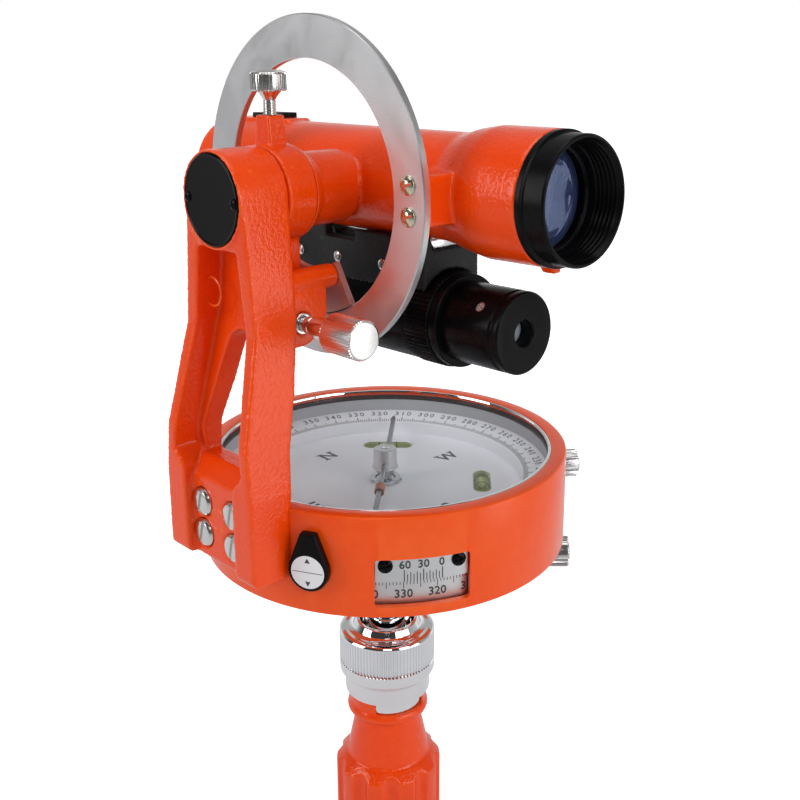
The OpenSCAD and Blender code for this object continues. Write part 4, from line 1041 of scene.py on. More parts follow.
@dataclass
class CompassBox(SubAssembly):
    """Round box with its reading window, drum, glass, bezel and outside knobs."""

    drum_r: float = 57.4
    window_angle: float = -31.9
    index_angle: float = -26.2
    vernier_step: float = 11.0 / 12.0
    drum_zero: float = 292.7
    selector_angle: float = -62.9
    selector_z: float = 148.2

    def build(self) -> None:
        """Builds the box and what sits in its wall."""
        self.build_box()
        self.redress("box_floor", "orange_gloss")
        self.build_drum()
        self.build_vernier()
        self.build_selector()
        self.build_lifter_knob()
        self.build_glass()

    def build_box(self) -> None:
        """Turns the box and cuts its window and the holes in its wall."""
        box = turned("box_casting", [
            (55.0, 148.5, 0), (55.0, 165.0, 0.4), (60.0, 165.0, 1.0), (60.0, 133.5, 0.9), (58.2, 133.5, 0.4),
            (58.2, 147.0, 0), (52.0, 147.0, 0.2), (52.0, 148.5, 0.2)], Seat(), closed=True, steps=480)
        window = slab("window", oblong(14.1, 7.45), 9.0, round_seat(self.window_angle, 55.6, 144.45), 0,
                      fillet=1.2)
        holes = [drill(1.55, 0, 12, round_seat(self.selector_angle, 54.0, self.selector_z)),
                 drill(1.55, 0, 12, round_seat(LIFTER_ANGLE, 51.0, LIFTER_Z))]
        holes += [drill(2.0, 0, 12, Seat((x, -52.0, z), (0, -1, 0)))
                  for x in FOOT_SCREW_X for z in FOOT_SCREW_Z]
        self.keep(carve(box, window, join("holes", holes)), "orange_paint", "orange_gloss", "compass_box")

    def build_drum(self) -> None:
        """Builds the graduated drum and its numbers."""
        drum = turned("azimuth_scale", [
            (5.0, 136.3, 0.0), (56.9, 136.3, 0.3), (57.4, 136.8, 0.3), (57.4, 146.2, 0.15),
            (56.2, 146.4, 0.1), (56.2, 137.8, 0.3), (8.0, 137.8, 0.2), (8.0, 142.3, 0.2), (5.0, 142.3, 0)],
            Seat(), closed=True, steps=180)
        self.keep(drum, "bare_aluminium", "scale_metal", "azimuth_drum", body=Body.PIVOT)
        first = round(self.drum_zero) - self.drum_zero
        marks = printed(
            Marks(self.drum_r, 144.35, 3.3, 0.20, 360, 1.0, -first, facing=Facing.OUT),
            Marks(self.drum_r, 143.75, 4.5, 0.22, 72, 5.0, self.drum_zero - 290, facing=Facing.OUT))
        self.keep(join("azimuth_marks", marks), "bare_aluminium", "mark_ink", body=Body.PIVOT)
        numbers = []
        for value in DEGREES:
            seat = round_seat(self.drum_zero - value, self.drum_r + 0.02, 139.75)
            numbers.append(figures("number", str(value), 3.7, seat, bold=0.05))
        self.keep(join("azimuth_numbers", numbers), "bare_aluminium", "mark_ink", body=Body.PIVOT)

    def build_vernier(self) -> None:
        """Builds the marks, numbers and screws of the vernier plate."""
        self.redress("azimuth_vernier", "scale_metal")
        face = 58.66
        first = self.index_angle - 11.0
        marks = printed(*(
            Marks(face, z, length, width, count, every * self.vernier_step, first, facing=Facing.OUT)
            for z, length, width, count, every in (
                (145.5, 2.3, 0.24, 13, 1), (145.8, 2.9, 0.24, 7, 2), (146.15, 3.6, 0.28, 3, 6))))
        for value, angle in (("60", -37.0), ("30", -31.7), ("0", -26.4)):
            marks.append(figures("number", value, 3.5, round_seat(angle, face + 0.02, 149.5), bold=0.06))
        self.keep(join("vernier_marks", marks), "bare_aluminium", "mark_ink")
        seats = [round_seat(self.window_angle + side, 58.7, 149.5) for side in (-10.6, 10.6)]
        self.keep(screw_set("vernier_screw_pair", seats, 2.2, 0.9, (12, 102), 0.5, 0.6, 0.4),
                  "black_anodised", "black_gloss", "vernier_screws")

    def build_selector(self) -> None:
        """Builds the teardrop lever with its round white label."""
        seat = round_seat(self.selector_angle, 60.4, self.selector_z)
        side = [(2.2, 11.7, 0.5), (5.9, 1.9, 2.5)]
        arc = [(6.1 * x, 6.1 * y, 0.0) for x, y, _ in map(bearing, range(0, -181, -12))]
        left = [(-5.9, 1.9, 2.5), (-2.2, 11.7, 0.5)]
        lever = slab("selector_lever", side + arc + left, 2.9, seat, 0.45, 3)
        pin = turned("pin", [(0, -4.6), (1.5, -4.6, 0.2), (1.5, 0.5, 0), (0, 0.5)], seat, steps=32)
        self.keep(join("selector_lever", [lever, pin]), "black_anodised", "black_satin", "selector_knob",
                  body=Body.SELECTOR)
        label = turned("selector_label", [(0, 2.82), (5.1, 2.82, 0), (5.1, 2.98, 0.04), (0, 2.98)], seat,
                       steps=64)
        self.keep(label, "dial_white", "label_white", body=Body.SELECTOR)
        face = round_seat(self.selector_angle, 63.35, self.selector_z)
        signs = [slab("arrow", [(-0.85, 2.9 * sign), (0.85, 2.9 * sign), (0, 4.4 * sign)], 0.06, face, 0)
                 for sign in (1, -1)]
        signs.append(slab("line", oblong(4.6, 0.1), 0.06, face, 0))
        self.keep(join("selector_print", signs), "black_anodised", "mark_ink", body=Body.SELECTOR)

    def build_lifter_knob(self) -> None:
        """Builds the ribbed knob of the needle lifter with its cam pin."""
        seat = round_seat(LIFTER_ANGLE, 0.0, LIFTER_Z)
        knob = knurled("lifter_screw", [
            (0, 51.3), (1.5, 51.3, 0.1), (1.5, 61.0, 0.1), (4.4, 61.0, 0.4), (4.8, 61.5, 0.2), (4.8, 64.0, 0),
            (4.8, 65.9, 0.3), (4.3, 66.45, 0.4), (0, 66.5)], seat, (61.4, 66.0), 30, 0.3, 4.6)
        cam = turned("cam", [(0, 47.4), (1.0, 47.4, 0.1), (1.0, 51.4, 0), (0, 51.4)],
                     round_seat(LIFTER_ANGLE, 0.0, LIFTER_Z + 0.4), steps=24)
        self.keep(join("lifter_screw", [knob, cam]), "chrome", "turned_edge", "lifter_knob",
                  body=Body.LIFTER_CAM)

    def build_glass(self) -> None:
        """Builds the cover glass, its bright ring and its seal."""
        self.redress("cover_glass", "window_glass")
        bezel = turned("bezel", [(53.92, 164.2, 0), (54.95, 164.2, 0), (54.95, 164.75, 0.1),
                                 (54.6, 164.9, 0.1), (54.1, 164.85, 0.15)], Seat(), closed=True, steps=180)
        self.keep(bezel, "chrome", "mirror_chrome", "bezel_ring")
        seal = turned("seal", [(53.9, 161.3, 0.1), (54.95, 161.3, 0), (54.95, 162.88, 0), (53.9, 162.88, 0.2),
                               (53.7, 162.1, 0.3)], Seat(), closed=True, steps=180)
        self.keep(seal, "black_rubber", "black_gloss", "glass_gasket")


@dataclass
class DialAndNeedle(SubAssembly):
    """White dial with its raised ring, vials, letters and the needle on its post."""

    dial_z: float = 151.0
    needle_angle: float = 133.3
    blade_z: float = 156.6
    ring_slope: float = 13.1
    letters: tuple[tuple[str, float, Profile], ...] = (
        ("N", 180.0, ((-2.15, 2.6), (-2.15, -2.6), (2.15, 2.6))), ("W", 90.0, ((-3.1, 2.6), (3.1, 2.6))),
        ("S", 0.0, ()), ("E", -90.0, ((-1.5, 2.6), (-1.5, -2.6))))
    vial_angles: tuple[float, float] = (44.0, 136.0)
    vial_r: float = 32.4
    letter_r: float = 30.0

    def build(self) -> None:
        """Builds the dial, its marks and the needle."""
        self.build_dial()
        self.build_letters()
        self.build_ring()
        self.build_vials()
        self.build_needle()

    def build_dial(self) -> None:
        """Turns the dial and cuts the slots of the vials and the hole of the lifter."""
        dial = turned("dial_face", [(1.55, 148.5, 0), (54.9, 148.5, 0), (54.9, 151.0, 0.1),
                                    (1.55, 151.0, 0.1)],
                      Seat(), closed=True, steps=240)
        x, y, _ = bearing(LIFTER_ANGLE)
        holes = [drill(1.4, 148, 152, Seat((x * 4.2, y * 4.2, 0)))]
        for angle in self.vial_angles:
            x, y, _ = bearing(angle)
            holes.append(slab("slot", self.capsule(2.95, 8.95), 4.0,
                              Seat((x * self.vial_r, y * self.vial_r, 148.0), (0, 0, 1), (-y, x, 0)), 0))
        self.keep(carve(dial, join("holes", holes)), "dial_white", "dial_white", "dial_plate")

    def capsule(self, half_w: float, half_l: float) -> Profile:
        """Returns the outline of a slot with round ends."""
        turn = [math.radians(a) for a in range(0, 181, 15)]
        top = [(half_w * math.cos(a), half_l - half_w + half_w * math.sin(a), 0) for a in turn]
        return top + [(-x, -y, 0) for x, y, _ in top]

    def build_letters(self) -> None:
        """Builds the four plain direction letters, with straight serifs."""
        made = []
        for text, angle, serifs in self.letters:
            x, y, _ = bearing(angle)
            at = (x * self.letter_r, y * self.letter_r, self.dial_z + 0.02)
            seat = Seat(at, (0, 0, 1), (-1, 0, 0))
            made.append(figures(text, text, 7.6, seat, bold=0.13))
            made += [slab("serif", oblong(1.15, 0.2, *middle), 0.06, seat, 0) for middle in serifs]
        self.keep(join("dial_letters", made), "dial_white", "mark_grey")

    def build_ring(self) -> None:
        """Builds the raised degree ring, its grey wall, its marks and its numbers."""
        ring = turned("degree_scale", [
            (45.5, 151.0, 0), (46.4, 151.0, 0), (46.4, 154.2, 0), (54.1, 156.0, 0), (54.1, 157.0, 0.1),
            (45.5, 155.0, 0.35)], Seat(), closed=True, steps=180)
        self.keep(ring, "dial_white", "dial_white", "degree_ring")
        wall = turned("degree_wall", [(54.1, 156.5, 0), (54.95, 156.5, 0), (54.95, 161.28, 0),
                                      (54.1, 161.28, 0)],
                      Seat(), closed=True, steps=180)
        self.keep(wall, "dial_white", "wall_grey", "degree_ring")

        def surface(radius: float) -> float:
            """Returns the height of the sloping face at a radius."""
            return 155.02 + (radius - 45.5) * 2.0 / 8.6

        marks = printed(*(
            Marks(radius, surface(radius), length, width, count, 360.0 / count, 0.0, self.ring_slope)
            for radius, length, width, count in (
                (47.0, 1.6, 0.24, 360), (47.35, 2.3, 0.28, 72), (47.7, 3.0, 0.32, 36))))
        self.keep(join("degree_marks", marks), "dial_white", "mark_grey")
        numbers = []
        for value in DEGREES:
            d = bearing(value - 180.0)
            lean = math.tan(math.radians(self.ring_slope))
            seat = Seat((d[0] * 51.3, d[1] * 51.3, surface(51.3)), (-d[0] * lean, -d[1] * lean, 1.0), d)
            numbers.append(figures("number", str(value), 3.4, seat, 0.04, 0.05, 1.35))
        self.keep(join("degree_numbers", numbers), "dial_white", "mark_pale")

    def build_vials(self) -> None:
        """Builds the two spirit vials: glass, bubble, bed and reading lines."""
        glass, bubbles, beds, lines = [], [], [], []
        for angle in self.vial_angles:
            d = bearing(angle)
            side = (-d[1], d[0], 0.0)
            start = tuple(d[i] * self.vial_r - side[i] * 8.4 for i in range(2)) + (149.7,)
            seat = Seat(start, side)
            glass.append(turned("tube", [(0, 0), (1.6, 0.2, 0.8), (2.35, 1.6, 0.9), (2.35, 15.2, 0.9),
                                         (1.6, 16.6, 0.8), (0, 16.8)], seat, steps=48))
            bubbles.append(turned("bubble", [(0, 5.6), (0.9, 5.9, 0.5), (1.3, 6.9, 0.5), (1.3, 9.9, 0.5),
                                             (0.9, 10.9, 0.5), (0, 11.2)],
                                  Seat(start[:2] + (150.5,), side), steps=24))
            beds.append(slab("bed", self.capsule(2.9, 8.9), 0.5,
                             Seat((d[0] * self.vial_r, d[1] * self.vial_r, 148.55), (0, 0, 1), side), 0))
            for offset in (5.0, 11.4):
                lines.append(turned("line", [(2.35, offset, 0), (2.42, offset, 0), (2.42, offset + 0.35, 0),
                                             (2.35, offset + 0.35, 0)], seat, 0, closed=True, steps=48))
        for name, made, finish in (("vial_tubes", glass, "vial_glass"),
                                   ("vial_bubbles", bubbles, "bubble_glass"),
                                   ("vial_beds", beds, "bed_pale"), ("vial_lines", lines, "mark_ink")):
            self.keep(join(name, made), "vial", finish, "level_vials")

    def build_needle(self) -> None:
        """Builds the needle with its hub, jewel, balance winding and post."""
        north = bearing(self.needle_angle)
        south = bearing(self.needle_angle + 180.0)
        arm = [(3.85, -0.75), (42.0, -0.75), (44.4, 0.0), (42.0, 0.75), (3.85, 0.75)]
        arms = [slab("arm", [(y, x) for x, y in arm], 1.8, Seat((0, 0, self.blade_z), (0, 0, 1), way), 0.18)
                for way in (north, south)]
        self.keep(join("needle_arms", arms), "steel", "needle_steel", "needle_blade", body=Body.NEEDLE)
        hub = turned("needle_cap", [
            (0.9, 153.05, 0), (2.2, 153.05, 0.3), (3.8, 155.6, 0.1), (4.4, 155.75, 0.2), (4.4, 156.5, 0.2),
            (3.9, 156.7, 0.2), (3.9, 162.3, 0.3), (3.5, 162.55, 0.3), (1.7, 162.5, 0.2), (1.4, 161.9, 0.2),
            (0.5, 161.8, 0.1), (0.0, 161.8, 0), (0.0, 159.2, 0), (0.9, 159.1, 0)], Seat(), steps=96)
        self.keep(hub, "chrome", "scale_metal", "needle_hub", body=Body.NEEDLE)
        start = tuple(south[i] * 20.5 for i in range(2)) + (157.5,)
        wire = coil("balance_wire", 1.4, 0.4, 0.6, 8, Seat(start, south))
        self.keep(wire, "copper", "copper_wire", "needle_winding", body=Body.NEEDLE)
        self.redress("needle_post", "bright_steel")
        self.redress("needle_lifter", "bright_steel")


@dataclass
class Standard(SubAssembly):
    """A-frame casting with its foot screws, head cap, index plate and plunger."""

    foot_face: float = -67.1
    slot_angle: float = 76.0

    def build(self) -> None:
        """Builds the standard and the small pieces fixed to it."""
        self.keep(casting("standard_casting", "standard", 0.5, 12), "orange_paint", "orange_cast", "standard")
        self.build_moulding_rings()
        self.build_foot_screws()
        self.build_cap()
        self.build_bushes()
        self.redress("vertical_vernier", "scale_metal")
        self.redress("head_bush", "yellow_brass")

    def build_moulding_rings(self) -> None:
        """Builds the faint rings that the mould's pins leave on the web and the foot."""
        rings = []
        for at, radius in (((-9.0, -58.2, 224.0), 4.2), ((0.0, -66.55, 158.0), 3.4)):
            rings.append(turned("ring", [(radius - 0.35, -0.1, 0), (radius + 0.35, -0.1, 0),
                                         (radius, 0.14, 0.1)],
                                Seat(at, (0, -1, 0)), closed=True, steps=48))
        self.keep(join("moulding_rings", rings), "orange_paint", "orange_gloss")

    def build_foot_screws(self) -> None:
        """Builds the four slotted screws of the foot."""
        seats = [Seat((x, self.foot_face + 1.3, z), (0, -1, 0)) for x in FOOT_SCREW_X
                 for z in reversed(FOOT_SCREW_Z)]
        self.keep(screw_set("foot_screws", seats, 4.3, 1.85, (self.slot_angle,), 1.1, 0.9, 0.35, 9.0),
                  "chrome", "satin_nickel", "standard_screws")

    def build_cap(self) -> None:
        """Builds the bare black disc on the head and its two screws."""
        seat = Seat((0, -61.7, TRUNNION_Z), (0, -1, 0))
        cap = turned("trunnion_cap", [(0, 0), (12.8, 0, 0.1), (12.8, 1.2, 0.3), (12.4, 1.45, 0.3),
                                      (11.9, 1.3, 0.2), (0, 1.3)], seat)
        self.keep(cap, "black_anodised", "black_gloss", "head_cap")
        seats = [Seat((x, -62.95, TRUNNION_Z), (0, -1, 0)) for x in (-10.95, 10.95)]
        self.keep(screw_set("cap_screw_pair", seats, 1.5, 0.75, (25, 115), 0.35, 0.4, 0.3, 2.0), "steel",
                  "black_gloss", "cap_screws")

    def build_bushes(self) -> None:
        """Builds the tangent screw's ferrule, the plunger's barrel and spring, and the index screws."""
        line = Seat((0, *TANGENT), (1, 0, 0))
        bush = turned("tangent_ferrule", [(2.06, 9.0, 0.1), (3.2, 9.0, 0.1), (3.2, 13.7, 0.1),
                                          (3.0, 14.1, 0.2), (2.06, 14.1, 0.2)], line, closed=True, steps=64)
        self.keep(bush, "chrome", "satin_nickel", "tangent_bush")
        barrel = turned("spring_barrel", [
            (2.06, 9.0, 0.1), (3.2, 9.0, 0.1), (3.2, 13.5, 0.1), (4.1, 13.5, 0.2), (4.4, 13.9, 0.2),
            (4.4, 24.2, 0.4), (3.9, 24.95, 0.5), (0, 25.0)], Seat((0, *TANGENT), (-1, 0, 0)), steps=96)
        self.keep(barrel, "chrome", "satin_nickel", "plunger_barrel")
        spring = coil("return_spring", 2.2, 0.6, 8.2 / 7, 7, Seat((-23.5, *TANGENT), (1, 0, 0)))
        self.keep(spring, "steel", "bright_steel", "plunger_spring")
        seats = [Seat((x, -27.6, 227.5), (0, 1, 0)) for x in (-10.0, 10.0)]
        self.keep(screw_set("index_screw_pair", seats, 2.4, 1.3, (30,), 0.6, 0.7, 0.3, 8.9), "steel",
                  "satin_nickel", "index_screws")


@dataclass
class AltitudeMotion(SubAssembly):
    """Clamp collar with its thumbscrew, and the tangent screw below it."""

    lug_y: float = -41.95

    def build(self) -> None:
        """Builds the collar and its screws."""
        self.keep(casting("collar_casting", "clamp_collar", 0.36, 10), "orange_paint", "orange_cast",
                  "clamp_collar")
        self.build_thumbscrew()
        self.build_tangent_knob()

    def build_thumbscrew(self) -> None:
        """Builds the thumbscrew: thread, cone and ribbed head with a low dome."""
        thread: list[tuple[float, ...]] = [(0, 265.2), (1.6, 265.2, 0)]
        height = 265.6
        while height < 277.0:
            thread += [(1.95, height + 0.2, 0), (1.95, height + 0.3, 0), (1.62, height + 0.55, 0)]
            height += 0.7
        head = [(1.9, 277.8, 0.2), (2.1, 278.2, 0.2), (3.4, 279.8, 0.4), (4.8, 279.9, 0.3), (5.2, 280.3, 0.2),
                (5.2, 282.0, 0), (5.2, 284.4, 0.2), (4.8, 284.95, 0.3), (3.2, 285.5, 1.0), (0, 285.6)]
        screw = knurled("thumbscrew", thread + head, Seat((0, self.lug_y, 0)), (280.2, 284.6), 32, 0.45, 5.0)
        self.keep(screw, "chrome", "satin_nickel", "clamp_screw", body=Body.COLLAR_SCREW)

    def build_tangent_knob(self) -> None:
        """Builds the ribbed tangent knob with its tapered shank and bright end."""
        seat = Seat((0, *TANGENT), (1, 0, 0))
        knob = knurled("tangent_knob_screw", [
            (0, 15.6), (2.4, 15.6, 0.2), (2.7, 18.0, 0.2), (2.4, 18.4, 0.2), (2.9, 18.9, 0.2),
            (3.75, 26.6, 0.3), (5.2, 27.0, 0.4), (5.7, 27.6, 0.2), (5.7, 33.0, 0), (5.7, 39.3, 0.25),
            (5.3, 39.9, 0.25), (4.9, 39.98, 0.1), (0, 40.0)], seat, (27.4, 39.45), 38, 0.42, 5.4)
        self.keep(knob, "chrome", "satin_nickel", "tangent_screw", body=Body.TANGENT_KNOB)


@dataclass
class VerticalCircle(SubAssembly):
    """Ring of bare metal with its graduations on the telescope's side."""

    outer: float = 49.1
    inner: float = 37.0
    front: float = -29.6
    thick: float = 2.4
    screw_x: float = 42.9
    screw_dz: float = 4.2

    def build(self) -> None:
        """Builds the ring, its marks and its screws."""
        seat = Seat((0, self.front, 0), (0, 1, 0), on_telescope=True)
        ring = turned("altitude_ring", [
            (self.inner, 0.25, 0), (self.inner + 0.25, 0.0, 0), (self.outer - 0.3, 0.0, 0),
            (self.outer, 0.3, 0), (self.outer, self.thick - 0.3, 0), (self.outer - 0.3, self.thick, 0),
            (self.inner + 0.25, self.thick, 0), (self.inner, self.thick - 0.25, 0)], seat, 0, closed=True,
            steps=240)
        self.keep(ring, "bare_aluminium", "brushed_ring", "vertical_circle")
        back = Seat((0, self.front + self.thick, 0), (0, 1, 0), on_telescope=True)
        marks = printed(Marks(38.0, 0.0, 1.6, 0.12, 360, 1.0), Marks(38.4, 0.0, 2.4, 0.15, 72, 5.0),
                        Marks(38.7, 0.0, 3.0, 0.18, 36, 10.0), seat=back)
        for value in DEGREES:
            shown = min(value % 180, 180 - value % 180)
            x, z, _ = bearing(value)
            at = (x * 42.6, self.front + self.thick + 0.02, z * 42.6)
            marks.append(figures("number", str(shown), 3.1, Seat(at, (0, 1, 0), (x, 0, z), True), 0.04))
        self.keep(join("altitude_marks", marks), "bare_aluminium", "mark_ink")
        seats = [Seat((self.screw_x, self.front, z), (0, -1, 0), on_telescope=True)
                 for z in (self.screw_dz, -self.screw_dz)]
        self.keep(screw_set("circle_screw_pair", seats, 2.7, 1.55, (20, 110), 0.8, 0.9, 0.8, 8.4), "chrome",
                  "warm_nickel", "circle_screws")


@dataclass
class Telescope(SubAssembly):
    """Telescope tube with its trunnion, objective, eyepiece, sight and dovetail."""

    def build(self) -> None:
        """Builds the telescope."""
        self.keep(casting("tube_casting", "telescope_tube", 0.56, 12), "orange_paint", "orange_cast",
                  "telescope_tube")
        self.build_trunnion()
        self.build_objective()
        self.build_eyepiece()
        self.build_sight()
        self.redress("reticle_ring", "yellow_brass")

    def build_trunnion(self) -> None:
        """Builds the stub axle with its conical flange and the fillet to the boss."""
        seat = Seat((0, 0, TRUNNION_Z), (0, 1, 0))
        axle = turned("trunnion_axle", [
            (0, -60.0), (8.0, -60.0, 0.3), (8.0, -46.3, 0.0), (11.0, -46.3, 0.0), (11.0, -36.35, 0.2),
            (13.7, -36.3, 0.4), (11.3, -32.9, 0.9), (10.9, -32.0, 0.6), (10.9, -19.0, 0.5),
            (10.4, -18.6, 0.3), (6.0, -18.6, 0), (6.0, -15.2, 0.1), (0, -15.2)], seat)
        self.keep(axle, "orange_paint", "orange_cast", "trunnion")

    def build_objective(self) -> None:
        """Builds the ribbed objective cell and the coated lens."""
        inside: list[tuple[float, ...]] = []
        x = 77.6
        radius = 16.1
        while x > 71.6:
            inside += [(radius, x, 0), (radius - 0.42, x - 0.55, 0), (radius - 0.05, x - 0.75, 0)]
            x -= 1.3
            radius -= 0.14
        cell = turned("objective_mount", [
            (14.6, 60.8, 0), (16.4, 60.8, 0), (16.4, 70.1, 0), (18.5, 70.1, 0), (18.5, 71.7, 0.25),
            (17.9, 72.0, 0.2), (17.6, 72.3, 0.15), (17.6, 78.2, 0.4), (17.2, 78.75, 0.3), (16.6, 78.75, 0.2)
        ] + inside + [
            (15.35, 71.0, 0.1), (14.9, 70.6, 0.2), (14.6, 68.4, 0.2), (13.65, 68.2, 0.2), (13.6, 67.25, 0.1),
            (14.6, 67.2, 0)], on_sight(), closed=True, steps=160)
        self.keep(cell, "black_anodised", "black_satin", "objective_cell")
        arc = [13.4 * i / 8 for i in range(9)]
        skin = turned("front_lens_skin", [(r, 66.2 - r * r / 110, 0.0) for r in arc]
                      + [(r, 67.0 - r * r / 110, 0.0) for r in reversed(arc)], on_sight(), steps=96)
        self.keep(skin, "coated_glass", "lens_skin", "objective_lens")
        dish = turned("front_lens", [(0, 61.4), (14.5, 61.4, 0.2), (14.5, 65.2, 0.2)]
                      + [(r, 62.0 + r * r / 60, 0.0) for r in reversed(arc)], on_sight(), steps=96)
        self.keep(dish, "coated_glass", "coated_glass", "objective_lens")

    def build_eyepiece(self) -> None:
        """Builds the eyepiece flange, the ribbed eyecup and the eye lens."""
        seat = on_sight(way=-1.0)
        barrel = turned("eyepiece_flange", [
            (5.6, 74.4, 0), (13.2, 74.4, 0), (13.2, 80.0, 0), (12.3, 80.05, 0), (12.3, 82.5, 0.4),
            (11.7, 83.0, 0.3), (7.6, 83.0, 0), (7.6, 86.35, 0.1), (5.6, 86.4, 0)], seat, closed=True)
        self.keep(barrel, "black_anodised", "black_satin", "eyepiece_barrel")
        cup = knurled("eyecup", [
            (7.66, 83.35, 0), (9.6, 83.35, 0.3), (9.6, 84.5, 0), (8.95, 86.3, 0.3), (6.8, 89.5, 0.6),
            (6.2, 90.0, 0.4), (4.3, 90.0, 0.4), (3.6, 87.7, 0.3), (3.6, 86.7, 0.1), (7.66, 86.7, 0)],
                      seat, (83.6, 86.0), 40, 0.35, 8.9, closed=True)
        self.keep(cup, "black_rubber", "dark_rubber", "dioptre_ring", body=Body.DIOPTRE)
        self.redress("eyepiece_lens", "pale_lens")

    def build_sight(self) -> None:
        """Builds the grooved sight rail and the bright dovetail."""
        rail = slab("open_sight", [(-4, 17.3), (4, 17.3), (4, 18.95, 0.3), (0.9, 18.95, 0.1), (0, 18.1, 0.1),
                                   (-0.9, 18.95, 0.1), (-4, 18.95, 0.3)], 14.3, on_sight(-61.0), 0.15)
        self.keep(rail, "black_anodised", "black_satin", "sight_rail")
        dovetail = slab("dovetail", [(-8, -14.2), (8, -14.2), (6.6, -17.5), (-6.6, -17.5)], 44.5,
                        on_sight(-15.5), 0.3)
        self.keep(dovetail, "bare_aluminium", "turned_edge", "dovetail_rail")


@dataclass
class LaserPointer(SubAssembly):
    """Laser pointer in its saddle under the telescope."""

    ribs: int = 64
    axis: Seat = on_sight(rise=LASER_U)
    screw_angles: tuple[int, int, int] = (18, 138, 258)

    def build(self) -> None:
        """Builds the pointer and its saddle."""
        self.keep(casting("saddle_block", "laser_saddle", 0.5, 3), "black_anodised", "black_grained",
                  "laser_saddle")
        body = turned("laser_housing", [
            (0.0, -42.0), (13.2, -42.0, 0.6), (14.2, -41.0, 0.4), (14.2, 22.9, 0.3),
            (13.9, 23.3, 0.2), (10.9, 23.3, 0), (10.9, 33.65, 0), (14.0, 33.65, 0.2), (14.1, 36.2, 0.4),
            (13.7, 36.5, 0.3), (8.1, 36.5, 0), (8.1, -39.0, 0), (0.0, -39.0)], self.axis)
        self.keep(body, "black_anodised", "black_satin", "laser_body")
        head = turned("laser_nose", [
            (9.1, 36.5, 0), (12.1, 36.5, 0.1), (12.1, 54.9, 0.4), (11.6, 55.35, 0.2), (11.6, 56.1, 0.2),
            (12.1, 56.5, 0.3), (12.1, 58.1, 0.5), (11.6, 58.6, 0.2), (4.3, 58.6, 0.2), (3.8, 58.1, 0.2),
            (3.8, 49.6, 0), (9.1, 49.6, 0)], self.axis, closed=True)
        pockets = [drill(1.62, 10.6, 13.6, self.screw_seat(angle), 0) for angle in self.screw_angles]
        self.keep(carve(head, *pockets), "black_anodised", "black_satin", "laser_head")
        ring = knurled("laser_focus_grip", [
            (10.95, 23.6, 0), (14.2, 23.6, 0.3), (14.6, 24.1, 0.2), (14.6, 28.0, 0), (14.6, 32.9, 0.2),
            (14.2, 33.4, 0.3), (10.95, 33.4, 0)], self.axis, (24.0, 33.0), self.ribs, 0.35, 14.3, closed=True)
        self.keep(ring, "black_anodised", "black_satin", "laser_focus_ring", body=Body.LASER_FOCUS)
        lens = turned("laser_window", [(0, 52.6), (3.8, 52.6, 0), (3.8, 53.8, 0), (2.4, 54.1, 0.5),
                                       (0, 54.2)],
                      self.axis, steps=48)
        self.keep(lens, "glass", "pale_lens", "laser_lens")
        self.build_screws()

    def screw_seat(self, angle: float) -> Seat:
        """Returns the seat of a set screw round the laser's nose, Z pointing out from the laser's axis."""
        a = math.radians(angle) - math.pi / 2
        return Seat((49.6, 0, LASER_U), (0, -math.sin(a), math.cos(a)), (1, 0, 0), True)

    def build_screws(self) -> None:
        """Builds the set screws of the nose and the screws in the saddle's side."""
        outline = [(0, 11.0), (0.7, 11.0, 0.1), (0.8, 11.75, 0.1), (1.5, 11.8, 0.1), (1.58, 11.6, 0),
                   (1.58, 10.7, 0), (0, 10.7)]
        made = [turned("grub", outline, self.screw_seat(angle), steps=32) for angle in self.screw_angles]
        for x in (-27.5, -8.8, 12.0):
            made.append(slotted_screw("side", Seat((x, -11.5, -23.5), (0, -1, 0), on_telescope=True), 1.8,
                                      0.8, (35,), 0.45, 0.5, 0.3))
        self.keep(join("laser_screw_set", made), "steel", "satin_nickel", "laser_screws")


# Studio


@dataclass
class Lamp:
    """A soft area lamp: where it stands, where it looks, its size and power."""

    name: str
    at: Vec
    look: Vec
    size: tuple[float, float]
    watts: float

    def build(self) -> None:
        """Builds the lamp."""
        data = bpy.data.lights.new(self.name, "AREA")
        data.shape = "RECTANGLE"
        data.size, data.size_y = self.size
        data.energy = self.watts
        lamp = bpy.data.objects.new(self.name, data)
        bpy.context.collection.objects.link(lamp)
        lamp.location = self.at
        lamp.rotation_euler = (Vector(self.look) - Vector(self.at)).to_track_quat("-Z", "Y").to_euler()


